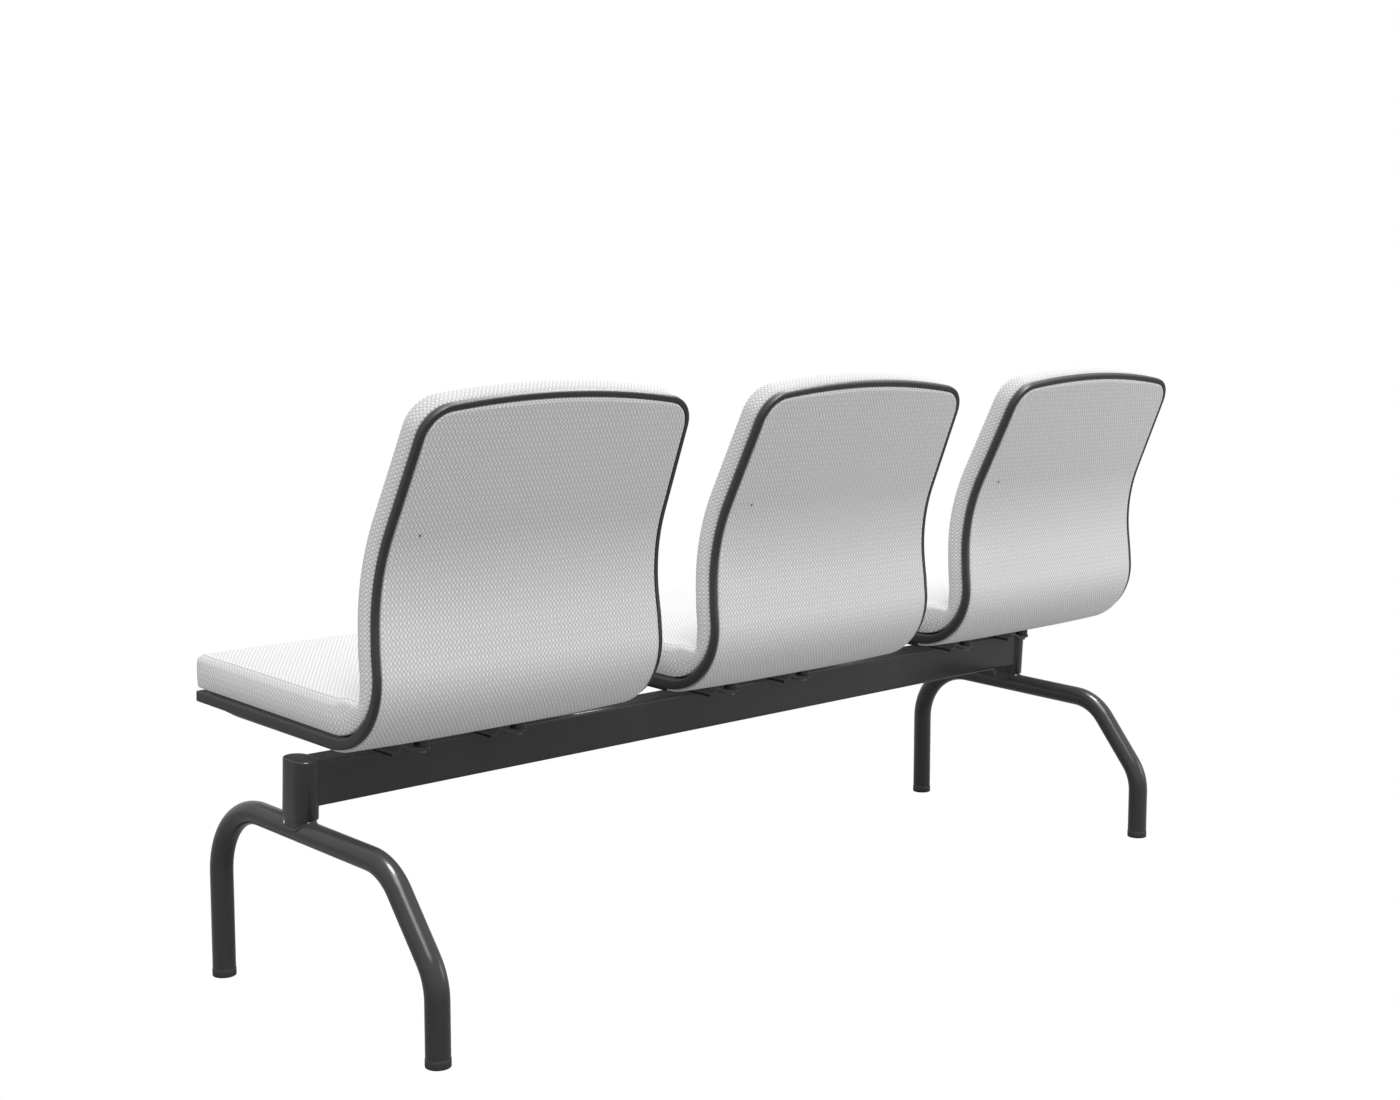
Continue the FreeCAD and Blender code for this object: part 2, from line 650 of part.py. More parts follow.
def pad_front_gap(s):
    """Distance from the outer line to the cushion's face."""
    seat = RIM_DEPTH_SEAT + SOFT_GAP + PAD_GROOVE + PAD_THICK_SEAT
    back = RIM_DEPTH_BACK + SOFT_GAP + PAD_GROOVE + PAD_THICK_BACK
    share = bend_share(s)
    if share <= 0:
        return seat
    if share >= 1:
        return back
    angle = share * BEND_TURN
    to_seat = (SEAT_BEND_R - seat) / max(math.cos(angle), TINY)
    to_back = (SEAT_BEND_R - back) / max(math.cos(BEND_TURN - angle), TINY)
    corner = min(to_seat, to_back)
    soft = PAD_CORNER_SOFT * math.sin(math.pi * share) ** 2
    return SEAT_BEND_R - corner + soft


def ring_at(s, points):
    """A closed ring of arcs and lines through (x, gap) points, mirrored about x = 0."""
    p, n = OUTER.at(s)

    def place(x, gap):
        q = shift(p, n, gap)
        return vec(x, q[0], q[1])
    shadow, groove, side_mid, side_top, corner_mid, face_edge, crown = points
    right = [line(place(*shadow), place(*groove)),
             arc(place(*groove), place(*side_mid), place(*side_top)),
             arc(place(*side_top), place(*corner_mid), place(*face_edge))]
    flip = [(-x, gap) for x, gap in points]
    left = [arc(place(*flip[5]), place(*flip[4]), place(*flip[3])),
            arc(place(*flip[3]), place(*flip[2]), place(*flip[1])),
            line(place(*flip[1]), place(*flip[0]))]
    base = line(place(*flip[0]), place(*shadow))
    top = arc(place(*face_edge), place(*crown), place(*flip[5]))
    return Part.Wire(right + [top] + left + [base])


def soft_ring(s, width, base, groove, face, shadow, edge_r, draw_in, crown):
    """One ring of a soft piece; base, groove and face are gaps from the outer line."""
    way = math.copysign(1.0, face - groove)
    side_top = face - way * edge_r
    half_turn = edge_r * (1 - math.sqrt(0.5))
    top_draw = draw_in * SIDE_TOP_DRAW
    points = [(width - shadow, base), (width - draw_in, groove),
              (width + SOFT_BULGE, (groove + side_top) / 2), (width - top_draw, side_top),
              (width - half_turn - top_draw / 2, face - way * half_turn), (width - edge_r, face),
              (0.0, face + way * crown)]
    return ring_at(s, points)


def make_front_cushion():
    first = FRONT_AT - PAD_OVERHANG
    last = TOP_AT
    places = stations(first, last) + corner_places(0.0)
    places += [first + PAD_EDGE_R * k for k in PAD_END_STEPS]
    places += [last - PAD_EDGE_R * k for k in PAD_END_STEPS]
    rings = []
    for s in sorted(places):
        p, _ = OUTER.at(s)
        end = rounding(min(s - first, last - s), PAD_EDGE_R)
        base = rim_depth(s) + SOFT_GAP
        groove = base + PAD_GROOVE + end * END_LIFT
        if s < FRONT_AT + PAD_SHADOW:
            base += PAD_GROOVE
        width = half_width(p) - end * END_NARROW
        rings.append(soft_ring(s, width, min(base + end * END_LIFT, groove), groove, pad_front_gap(s) - end,
                               PAD_SHADOW, PAD_EDGE_R, PAD_DRAW_IN, PAD_CROWN))
    body = Part.makeLoft(rings, True, True)
    return body.common(arch_trim(0.0))


def arch_trim(inset):
    """Solid below the arched top edge, wide and deep enough for a whole seat."""
    crest = on_back(0.0, BACK_LENGTH - TOP_ARCH_R, -2 * BACK_LENGTH)
    axis = vec(0, BACK_NORMAL[0], BACK_NORMAL[1])
    return Part.makeCylinder(TOP_ARCH_R - inset, 5 * BACK_LENGTH, crest, axis)


def make_rear_panel():
    """Upholstered panel from the lowest line of the bend to the top, inside the rim."""
    room = RIM_WIDTH + SOFT_GAP
    first = BEND_START - (OUTER.spans[0][2][0] - COVER_REAR) + SOFT_GAP
    last = TOP_AT - room
    places = [s for s in stations(first, last) if s >= first]
    places += [first + PANEL_EDGE_R * k for k in PANEL_END_STEPS]
    places += [last - PANEL_EDGE_R * k for k in PANEL_END_STEPS]
    places += corner_places(room)
    rings = []
    for s in sorted(places):
        p, _ = OUTER.at(s)
        share = bend_share(s)
        end = rounding(min(s - first, last - s), PANEL_EDGE_R)
        base = rim_depth(s) - SHELL_WALL - SOFT_GAP
        proud = PANEL_PROUD_BEND + (PANEL_PROUD_BACK - PANEL_PROUD_BEND) * share
        crown = PANEL_CROWN * (1 - PANEL_CROWN_FADE * share)
        width = half_width(p, room) - end * END_NARROW
        rings.append(soft_ring(s, width - SOFT_BULGE, base, base - PANEL_CHAMFER, -proud + end,
                               PANEL_CHAMFER, PANEL_EDGE_R, 0.0, crown))
    body = Part.makeLoft(rings, True, True)
    body = body.common(arch_trim(room))
    return body.cut(plug_solid(PLUG_R + FIT_CLEARANCE))


def plug_solid(radius):
    start = on_back(HALF_WIDTH_LUMBAR - PLUG_FROM_SIDE, BACK_LENGTH * PLUG_HEIGHT_SHARE,
                    PLUG_LENGTH - PANEL_PROUD_BACK - PLUG_PROUD)
    axis = vec(0, -BACK_NORMAL[0], -BACK_NORMAL[1])
    return Part.makeCylinder(radius, PLUG_LENGTH, start, axis)


# Output

os.makedirs("parts", exist_ok=True)


def keep(name, shape):
    print(name, "solids", len(shape.Solids), "valid", shape.isValid(), "volume", round(shape.Volume))
    shape.exportStep("parts/" + name + ".step")


keep("beam_tube", tilted(make_beam(), 0))
for side, x in LEG_X.items():
    keep(side + "_post", tilted(make_post(), x))
    keep(side + "_post_cap", tilted(make_post_cap(), x))
    keep(side + "_post_sleeve", tilted(make_sleeve(), x))
    keep(side + "_leg", upright(make_leg(x)))
    keep(side + "_front_foot", upright(make_foot(x, 0.0)))
    keep(side + "_rear_foot", upright(make_foot(x, FOOT_SPREAD)))

shell = make_shell()
under_cover = make_under_cover()
front_cushion = make_front_cushion()
rear_panel = make_rear_panel()
bracket = make_bracket()
for name, x in zip(SEAT_NAMES, SEAT_X):
    keep(name + "_seat_shell", tilted(shell, x))
    keep(name + "_seat_under_cover", tilted(under_cover, x))
    keep(name + "_front_cushion", tilted(front_cushion, x))
    keep(name + "_rear_panel", tilted(rear_panel, x))
    keep(name + "_panel_plug", tilted(plug_solid(PLUG_R), x))
    keep(name + "_bracket_left", tilted(bracket, x + BOLT_SPACING / 2))
    keep(name + "_bracket_right", tilted(bracket, x - BOLT_SPACING / 2))
    keep(name + "_spacers", tilted(group(make_spacer), x))
    keep(name + "_bolts", tilted(group(make_bolt), x))
    keep(name + "_inserts", tilted(group(make_insert), x))
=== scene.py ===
import json
import math
import bmesh
import bpy
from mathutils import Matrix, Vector

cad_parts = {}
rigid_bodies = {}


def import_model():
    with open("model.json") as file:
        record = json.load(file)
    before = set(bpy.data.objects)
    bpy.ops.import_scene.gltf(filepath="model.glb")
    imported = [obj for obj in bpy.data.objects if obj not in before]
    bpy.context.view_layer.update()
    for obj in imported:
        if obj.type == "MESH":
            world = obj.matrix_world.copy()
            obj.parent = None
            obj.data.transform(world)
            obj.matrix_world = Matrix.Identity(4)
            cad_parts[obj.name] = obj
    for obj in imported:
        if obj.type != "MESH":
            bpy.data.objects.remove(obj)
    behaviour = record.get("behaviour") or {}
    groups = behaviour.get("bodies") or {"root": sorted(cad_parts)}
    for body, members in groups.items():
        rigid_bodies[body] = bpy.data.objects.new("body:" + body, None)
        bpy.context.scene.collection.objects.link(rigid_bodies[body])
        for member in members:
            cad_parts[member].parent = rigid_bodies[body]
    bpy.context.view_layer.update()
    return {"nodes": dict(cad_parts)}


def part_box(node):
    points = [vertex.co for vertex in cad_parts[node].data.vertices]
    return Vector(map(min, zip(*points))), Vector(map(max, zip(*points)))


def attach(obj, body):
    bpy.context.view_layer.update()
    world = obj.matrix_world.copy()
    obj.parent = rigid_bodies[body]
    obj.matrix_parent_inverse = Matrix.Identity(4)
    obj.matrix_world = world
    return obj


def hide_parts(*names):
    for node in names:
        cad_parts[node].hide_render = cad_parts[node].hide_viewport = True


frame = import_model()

# Leg tubes. Two round steel tubes, each bent three times into a front leg, a top run that slopes
# back with the seats, and a rear leg. Painted dark grey, welded under the posts.
MM = 0.001
BODY = "root"
SIDES = ("left", "right")
SEATS = ("left", "middle", "right")
TUBE_R = 16.0
LEG_FRONT_HEIGHT = 252.8
LEG_KNEE_HEIGHT = 109.3
LEG_TOP_RUN = 389.3
FOOT_SPREAD = 485.1
FOOT_HEIGHT = 11.5
FRONT_BEND_R = 100.0
REAR_BEND_R = 80.0
TILT = math.radians(2.92)
FRONT_FOOT_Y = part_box("left_leg")[0].y + TUBE_R * MM
leg_x = {side: (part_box(side + "_leg")[0].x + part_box(side + "_leg")[1].x) / 2 for side in SIDES}


def link(name, mesh):
    """A new object that holds the mesh, at the origin."""
    thing = bpy.data.objects.new(name, mesh)
    bpy.context.scene.collection.objects.link(thing)
    return thing


def new_tree(name, sockets):
    """An empty Geometry Nodes tree with the named inputs and one geometry output."""
    tree = bpy.data.node_groups.new(name, "GeometryNodeTree")
    for label, kind in sockets:
        tree.interface.new_socket(label, in_out="INPUT", socket_type=kind)
    tree.interface.new_socket("Geometry", in_out="OUTPUT", socket_type="NodeSocketGeometry")
    return tree, tree.nodes.new("NodeGroupInput"), tree.nodes.new("NodeGroupOutput")


def wire(tree, *links):
    """Links nodes, each link as from node, its output, to node, its input."""
    for source, out, target, into in links:
        tree.links.new(source.outputs[out], target.inputs[into])


def set_inputs(node, values):
    """Sets inputs of a node to fixed values."""
    for label, value in values.items():
        node.inputs[label].default_value = value


def baked(thing):
    """Applies whatever modifiers the object has."""
    graph = bpy.context.evaluated_depsgraph_get()
    thing.data = bpy.data.meshes.new_from_object(thing.evaluated_get(graph))
    thing.modifiers.clear()
    return thing


def wear_tree(thing, tree, values):
    """Runs the tree on the object with its named inputs set, and keeps the result as a plain mesh."""
    modifier = thing.modifiers.new(tree.name, "NODES")
    modifier.node_group = tree
    for item in tree.interface.items_tree:
        if item.in_out == "INPUT" and item.name in values:
            modifier[item.identifier] = values[item.name]
    bpy.context.view_layer.update()
    return baked(thing)


def math_node(tree, operation, first, second=None, clamp=False):
    """A math node fed by sockets or plain numbers; gives its output socket."""
    node = tree.nodes.new("ShaderNodeMath")
    node.operation = operation
    node.use_clamp = clamp
    for i, value in enumerate((first, second)):
        if value is None:
            continue
        if isinstance(value, (int, float)):
            node.inputs[i].default_value = value
        else:
            tree.links.new(value, node.inputs[i])
    return node.outputs[0]


def speckle_group():
    """Fine surface grain: a height for bump and a slow roughness change."""
    tree = bpy.data.node_groups.new("speckle", "ShaderNodeTree")
    for label, default in (("Grain Size", 900.0), ("Patch Size", 14.0), ("Roughness", 0.4), ("Spread", 0.1)):
        socket = tree.interface.new_socket(label, in_out="INPUT", socket_type="NodeSocketFloat")
        socket.default_value = default
    tree.interface.new_socket("Height", in_out="OUTPUT", socket_type="NodeSocketFloat")
    tree.interface.new_socket("Roughness", in_out="OUTPUT", socket_type="NodeSocketFloat")
    tree.interface.new_socket("Patch", in_out="OUTPUT", socket_type="NodeSocketFloat")
    inside = tree.nodes.new("NodeGroupInput")
    outside = tree.nodes.new("NodeGroupOutput")
    place = tree.nodes.new("ShaderNodeTexCoord")
    fine = tree.nodes.new("ShaderNodeTexNoise")
    slow = tree.nodes.new("ShaderNodeTexNoise")
    fine.inputs["Detail"].default_value = 2.0
    slow.inputs["Detail"].default_value = 3.0
    for noise, label in ((fine, "Grain Size"), (slow, "Patch Size")):
        wire(tree, (place, "Object", noise, "Vector"), (inside, label, noise, "Scale"))
    shifted = math_node(tree, "SUBTRACT", slow.outputs["Fac"], 0.5)
    scaled = math_node(tree, "MULTIPLY", shifted, inside.outputs["Spread"])
    rough = math_node(tree, "ADD", scaled, inside.outputs["Roughness"], clamp=True)
    tree.links.new(fine.outputs["Fac"], outside.inputs["Height"])
    tree.links.new(rough, outside.inputs["Roughness"])
    tree.links.new(slow.outputs["Fac"], outside.inputs["Patch"])
    return tree


SPECKLE = speckle_group()


def two_tones(tree, first=(0.0, 0.0, 0.0), second=(0.0, 0.0, 0.0)):
    """A colour mix of two plain tones."""
    tone = tree.nodes.new("ShaderNodeMix")
    tone.data_type = "RGBA"
    set_inputs(tone, {6: (*first, 1.0), 7: (*second, 1.0)})
    return tone


def raise_surface(tree, surface, source, distance, strength):
    """Bump on the surface from a height."""
    height = tree.nodes.new("ShaderNodeBump")
    set_inputs(height, {"Distance": distance, "Strength": strength})
    tree.links.new(source, height.inputs["Height"])
    tree.links.new(height.outputs["Normal"], surface.inputs["Normal"])


def grained_material(name, colour, light_colour, roughness, spread, grain, bump, specular=0.5):
    """A dark moulded or painted finish with grain and slow patches of tone."""
    material = bpy.data.materials.new(name)
    material.use_nodes = True
    tree = material.node_tree
    surface = tree.nodes["Principled BSDF"]
    speckle = tree.nodes.new("ShaderNodeGroup")
    speckle.node_tree = SPECKLE
    set_inputs(speckle, {"Grain Size": grain, "Roughness": roughness, "Spread": spread})
    tone = two_tones(tree, colour, light_colour)
    wire(tree, (speckle, "Patch", tone, 0), (tone, 2, surface, "Base Color"),
               (speckle, "Roughness", surface, "Roughness"))
    raise_surface(tree, surface, speckle.outputs["Height"], bump, 0.5)
    surface.inputs["Specular IOR Level"].default_value = specular
    return material


PAINT = grained_material("grey_powder_coat", (0.020, 0.020, 0.0197), (0.026, 0.026, 0.0255),
                         0.23, 0.10, 1400.0, 0.00004, specular=0.5)


def dress(thing, material, replaced, sharp_angle=32.0):
    """Smooth shading with sharp creases, the material, the frame's body as parent, and the replaced CAD parts
    hidden.
    """
    mesh = thing.data
    form = bmesh.new()
    form.from_mesh(mesh)
    for edge in form.edges:
        edge.smooth = len(edge.link_faces) == 2 and edge.calc_face_angle(0.0) < math.radians(sharp_angle)
    for face in form.faces:
        face.smooth = True
    form.to_mesh(mesh)
    form.free()
    if not mesh.materials:
        mesh.materials.append(material)
    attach(thing, BODY)
    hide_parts(*replaced)
    return thing


def bent_tube_tree():
    """Sweeps a round tube along a line of points whose corners carry a bend radius."""
    tree, start, end = new_tree("bent_tube", (("Geometry", "NodeSocketGeometry"),
                                              ("Tube Radius", "NodeSocketFloat"),
                                              ("Bend Steps", "NodeSocketInt"),
                                              ("Sides", "NodeSocketInt"),
                                              ("Paint", "NodeSocketMaterial")))
    curve = tree.nodes.new("GeometryNodeMeshToCurve")
    bend = tree.nodes.new("GeometryNodeFilletCurve")
    bend.mode = "POLY"
    radius = tree.nodes.new("GeometryNodeInputNamedAttribute")
    radius.data_type = "FLOAT"
    radius.inputs["Name"].default_value = "bend_radius"
    ring = tree.nodes.new("GeometryNodeCurvePrimitiveCircle")
    sweep = tree.nodes.new("GeometryNodeCurveToMesh")
    sweep.inputs["Fill Caps"].default_value = True
    paint = tree.nodes.new("GeometryNodeSetMaterial")
    wire(tree, (start, "Geometry", curve, "Mesh"), (curve, "Curve", bend, "Curve"),
               (radius, "Attribute", bend, "Radius"), (start, "Bend Steps", bend, "Count"),
               (bend, "Curve", sweep, "Curve"), (start, "Sides", ring, "Resolution"),
               (start, "Tube Radius", ring, "Radius"), (ring, "Curve", sweep, "Profile Curve"),
               (sweep, "Mesh", paint, "Geometry"), (start, "Paint", paint, "Material"),
               (paint, "Geometry", end, "Geometry"))
    return tree


BENT_TUBE = bent_tube_tree()
knee_z = LEG_FRONT_HEIGHT - LEG_TOP_RUN * math.tan(TILT)
leg_corners = ((0.0, FOOT_HEIGHT, 0.0), (0.0, LEG_FRONT_HEIGHT, FRONT_BEND_R),
               (LEG_TOP_RUN, knee_z, REAR_BEND_R), (FOOT_SPREAD, LEG_KNEE_HEIGHT, REAR_BEND_R),
               (FOOT_SPREAD, FOOT_HEIGHT, 0.0))
for side in SIDES:
    line = bpy.data.meshes.new(side + "_leg_line")
    points = [(leg_x[side], FRONT_FOOT_Y + y * MM, z * MM) for y, z, _ in leg_corners]
    line.from_pydata(points, [(i, i + 1) for i in range(len(points) - 1)], [])
    radii = line.attributes.new("bend_radius", "FLOAT", "POINT")
    for i, (_, _, bend) in enumerate(leg_corners):
        radii.data[i].value = bend * MM
    tube = wear_tree(link(side + "_leg_tube", line), BENT_TUBE,
                     {"Tube Radius": TUBE_R * MM, "Bend Steps": 18, "Sides": 64, "Paint": PAINT})
    dress(tube, PAINT, [side + "_leg"], 50.0)

# Feet. Black plastic plugs pushed into the tube ends, a little wider than the tube, with a rounded
# edge at the floor. One loft of rings makes each.
FOOT_R = 16.5
FOOT_EDGE = 1.6


def ring_faces(rings):
    """Quads between rings of equally many points, closed round each ring."""
    count = len(rings[0])
    faces = []
    for low in range(0, (len(rings) - 1) * count, count):
        for j in range(count):
            k = (j + 1) % count
            faces.append((low + j, low + k, low + count + k, low + count + j))
    return faces


def face_outwards(mesh, merged=False):
    """Turns the faces of a closed form outwards, after merging points that meet if asked."""
    form = bmesh.new()
    form.from_mesh(mesh)
    if merged:
        bmesh.ops.remove_doubles(form, verts=form.verts, dist=1e-6)
    bmesh.ops.recalc_face_normals(form, faces=form.faces)
    form.to_mesh(mesh)
    form.free()
    return mesh


def raw_mesh(name, points, faces):
    """A mesh of points and faces, turned outwards."""
    mesh = bpy.data.meshes.new(name)
    mesh.from_pydata(points, [], faces)
    return face_outwards(mesh)


def loft(name, rings, capped=True):
    """A skin through rings of equally many points, with both ends filled if capped."""
    count = len(rings[0])
    points = [point for ring in rings for point in ring]
    faces = ring_faces(rings)
    if capped:
        faces.append(tuple(range(count)))
        faces.append(tuple(range((len(rings) - 1) * count, len(rings) * count)))
    return link(name, raw_mesh(name, points, faces))


def quarter_steps(count):
    """Pairs (across, up) from (0, 0) to (1, 1) round a quarter circle."""
    turns = [math.pi / 2 * i / count for i in range(count + 1)]
    return [(math.sin(a), 1.0 - math.cos(a)) for a in turns]


BLACK_PLASTIC = grained_material("foot_black_plastic", (0.012, 0.012, 0.012), (0.018, 0.018, 0.018),
                                 0.55, 0.15, 2200.0, 0.00005)
for side in SIDES:
    for end, y in (("front", 0.0), ("rear", FOOT_SPREAD)):
        levels = [(FOOT_R - FOOT_EDGE * (1 - across), FOOT_EDGE * up) for across, up in quarter_steps(5)]
        levels += [(FOOT_R, FOOT_HEIGHT - 1.0), (FOOT_R - 0.4, FOOT_HEIGHT - 0.2),
                   (FOOT_R - 1.2, FOOT_HEIGHT)]
        rings = []
        for radius, z in levels:
            ring = []
            for i in range(48):
                angle = 2 * math.pi * i / 48
                ring.append((leg_x[side] + radius * MM * math.cos(angle),
                             FRONT_FOOT_Y + (y + radius * math.sin(angle)) * MM, z * MM))
            rings.append(ring)
        foot = loft(side + "_" + end + "_glide", rings)
        dress(foot, BLACK_PLASTIC, [side + "_" + end + "_foot"])

# Beam. One rectangular steel tube with small round edges, tilted back like the seats. Its ends are
# cut hollow to fit round the oval posts and welded to them.
BEAM_HEIGHT = 60.0
BEAM_DEPTH = 45.0
BEAM_EDGE_R = 3.0
POST_DEPTH = 56.0
POST_WIDTH = 36.0
beam_low, beam_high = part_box("beam_tube")
BEAM_CENTRE = (beam_low + beam_high) / 2
BEAM_TOP = BEAM_HEIGHT / 2


def tilted(x, u, v):
    """The place x metres along the bench, and u mm to the rear and v mm up in the tilted frame."""
    return Vector((x, BEAM_CENTRE.y + (u * math.cos(TILT) + v * math.sin(TILT)) * MM,
                   BEAM_CENTRE.z + (v * math.cos(TILT) - u * math.sin(TILT)) * MM))


def rounded_rectangle(wide, high, r, steps=5, flats=1):
    """Points round a rectangle with round corners, centred on zero."""
    points = []
    corners = ((1, 1, 0.0), (-1, 1, 90.0), (-1, -1, 180.0), (1, -1, 270.0))
    for sx, sy, first in corners:
        for i in range(steps + 1):
            angle = math.radians(first + 90.0 * i / steps)
            points.append((sx * (wide / 2 - r) + r * math.cos(angle),
                           sy * (high / 2 - r) + r * math.sin(angle)))
    if flats == 1:
        return points
    dense = []
    for i, a in enumerate(points):
        b = points[(i + 1) % len(points)]
        long_run = math.hypot(b[0] - a[0], b[1] - a[1]) > 2 * r
        cuts = flats if long_run else 1
        dense += [(a[0] + (b[0] - a[0]) * k / cuts, a[1] + (b[1] - a[1]) * k / cuts) for k in range(cuts)]
    return dense


def oval_side(u):
    """Half thickness along x of the oval post at the depth u."""
    r = POST_WIDTH / 2
    past = max(abs(u) - (POST_DEPTH / 2 - r), 0.0)
    return math.sqrt(max(r * r - past * past, 0.0))


section = rounded_rectangle(BEAM_DEPTH, BEAM_HEIGHT, BEAM_EDGE_R, flats=14)
rings = []
for end in ("right", "left"):
    way = 1 if leg_x[end] < 0 else -1
    rings.append([tilted(leg_x[end] + way * (oval_side(u) - 0.4) * MM, u, v) for u, v in section])
beam = loft("beam_tube_painted", rings)
dress(beam, PAINT, ["beam_tube"], 20.0)

# Posts. Short upright oval tubes at the beam's ends, each closed by an oval lid with a rounded rim
# and standing on a slightly smaller oval sleeve that is cut to sit on the leg tube and welded there.
POST_DROP = 46.7
CAP_HEIGHT = 2.7
CAP_EDGE = 2.0
SLEEVE_INSET = 2.6
BEAM_ABOVE_LEG = 64.5
WELD_R = 1.5


def oval(depth, width, steps=16):
    """Points (x, u) in mm round an oval with straight sides, long in u."""
    r = width / 2
    straight = depth / 2 - r
    points = []
    for sign, first in ((1, 0.0), (-1, 180.0)):
        for i in range(steps + 1):
            angle = math.radians(first + 180.0 * i / steps)
            points.append((r * math.cos(angle), sign * straight + r * math.sin(angle)))
    return points


def oval_loft(name, x, levels):
    """An upright oval piece through levels of (inset, v)."""
    rings = []
    for inset, v in levels:
        ring = oval(POST_DEPTH - 2 * inset, POST_WIDTH - 2 * inset)
        rings.append([tilted(x + px * MM, pu, v) for px, pu in ring])
    return loft(name, rings)


def bead(name, path, radius, wobble=0.12):
    """A weld bead: a closed, slightly rippled tube round a closed path of points."""
    rings = []
    count = len(path)
    for i, point in enumerate(path):
        ahead = (path[(i + 1) % count] - path[i - 1]).normalized()
        side = ahead.cross(Vector((0.0, 0.0, 1.0))).normalized()
        up = side.cross(ahead).normalized()
        swell = radius * (1 + wobble * math.sin(i * 2.4))
        rings.append([point + (side * math.cos(a) + up * math.sin(a)) * swell * MM
                      for a in (2 * math.pi * k / 10 for k in range(10))])
    rings.append(rings[0])
    thing = loft(name, rings, capped=False)
    face_outwards(thing.data, merged=True)
    return thing


def join(name, things):
    """One object made of several loose meshes."""
    form = bmesh.new()
    for thing in things:
        form.from_mesh(thing.data)
        bpy.data.objects.remove(thing)
    mesh = bpy.data.meshes.new(name)
    form.to_mesh(mesh)
    form.free()
    return link(name, mesh)


for side in SIDES:
    x = leg_x[side]
    post_levels = [(0.9, -POST_DROP), (0.25, 0.25 - POST_DROP), (0.0, 0.9 - POST_DROP), (0.0, BEAM_TOP)]
    post = oval_loft(side + "_post_tube", x, post_levels)
    dress(post, PAINT, [side + "_post"])
    rim_start = BEAM_TOP + CAP_HEIGHT - CAP_EDGE
    rim = [(CAP_EDGE * up, rim_start + CAP_EDGE * across) for across, up in quarter_steps(6)]
    lid = oval_loft(side + "_post_lid", x, [(0.0, BEAM_TOP), *rim])
    dress(lid, PAINT, [side + "_post_cap"])
    ring = oval(POST_DEPTH - 2 * SLEEVE_INSET, POST_WIDTH - 2 * SLEEVE_INSET)
    saddle = [(px, pu, math.sqrt(max(TUBE_R ** 2 - px ** 2, 0.0)) - BEAM_ABOVE_LEG) for px, pu in ring]
    rings = [[tilted(x + px * MM, pu, v - 0.6) for px, pu, v in saddle],
             [tilted(x + px * MM, pu, 1.0 - POST_DROP) for px, pu in ring]]
    sleeve = loft(side + "_sleeve_core", rings)
    weld = bead(side + "_weld", [tilted(x + px * MM * 1.02, pu * 1.02, v) for px, pu, v in saddle], WELD_R)
    sleeve = join(side + "_post_foot", [sleeve, weld])
    dress(sleeve, PAINT, [side + "_post_sleeve"])

# Brackets. Folded 4 mm sheet laid across the beam, two to a seat: a flat ear round each bolt, a ramp
# up to a ridge, and a steep flank down to a lip. Both ends of the sheet are welded to the beam.
SHEET = 4.0
BRACKET_HALF = 59.0
EAR_R = 12.5
RAMP_START = 21.0
RIDGE = 40.5
RIDGE_RISE = 8.4
VALLEY = 50.0
LIP_END = 57.5
FOLD_R = 3.0
BOLT_SPACING = 167.0
shell_x = {seat: (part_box(seat + "_seat_shell")[0].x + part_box(seat + "_seat_shell")[1].x) / 2
           for seat in SEATS}


def unit(dx, dy):
    size = math.hypot(dx, dy)
    return dx / size, dy / size


class Track:
    """A flat line of straight runs joined by tangent arcs, measured along its length."""

    def __init__(self, corners, radii):
        self.spans = []
        start = corners[0]
        for i, radius in enumerate(radii):
            d = unit(corners[i + 1][0] - corners[i][0], corners[i + 1][1] - corners[i][1])
            e = unit(corners[i + 2][0] - corners[i + 1][0], corners[i + 2][1] - corners[i + 1][1])
            turn = math.atan2(d[0] * e[1] - d[1] * e[0], d[0] * e[0] + d[1] * e[1])
            reach = radius * math.tan(abs(turn) / 2)
            a = (corners[i + 1][0] - d[0] * reach, corners[i + 1][1] - d[1] * reach)
            b = (corners[i + 1][0] + e[0] * reach, corners[i + 1][1] + e[1] * reach)
            self.spans.append((start, d, math.dist(start, a), 0.0))
            self.spans.append((a, d, abs(turn) * radius, turn))
            start = b
        d = unit(corners[-1][0] - start[0], corners[-1][1] - start[1])
        self.spans.append((start, d, math.dist(start, corners[-1]), 0.0))
        self.ends = []
        total = 0.0
        for span in self.spans:
            total += span[2]
            self.ends.append(total)
        self.length = total

    def at(self, s):
        """Point and left-hand normal at the distance s."""
        i = 0
        while i < len(self.spans) - 1 and s > self.ends[i]:
            i += 1
        (px, py), (dx, dy), size, turn = self.spans[i]
        s -= self.ends[i] - size
        if turn == 0.0:
            return (px + dx * s, py + dy * s), (-dy, dx)
        radius = size / turn
        a = s / radius
        ex, ey = dx * math.cos(a) - dy * math.sin(a), dx * math.sin(a) + dy * math.cos(a)
        return (px - dy * radius + ey * radius, py + dx * radius - ex * radius), (-ey, ex)


def sampled(track, steps, gap=0.0):
    """Points along a track, moved to its left by a gap."""
    made = []
    for i in range(steps + 1):
        (px, py), (nx, ny) = track.at(track.length * i / steps)
        made.append((px + nx * gap, py + ny * gap))
    return made


def height_at(points, x):
    """Height of a line of points at x."""
    for (ax, ay), (bx, by) in zip(points, points[1:]):
        if ax <= x <= bx:
            return ay + (by - ay) * (x - ax) / max(bx - ax, 1e-9)
    return points[-1][1] if x > points[-1][0] else points[0][1]


fold = Track([(-EAR_R - 1, 0.0), (RAMP_START, 0.0), (RIDGE, RIDGE_RISE), (VALLEY, 0.0), (LIP_END + 1, 0.0)],
             [FOLD_R + SHEET, FOLD_R, FOLD_R + SHEET])
lower_line = sampled(fold, 240)
upper_line = sampled(fold, 240, SHEET)


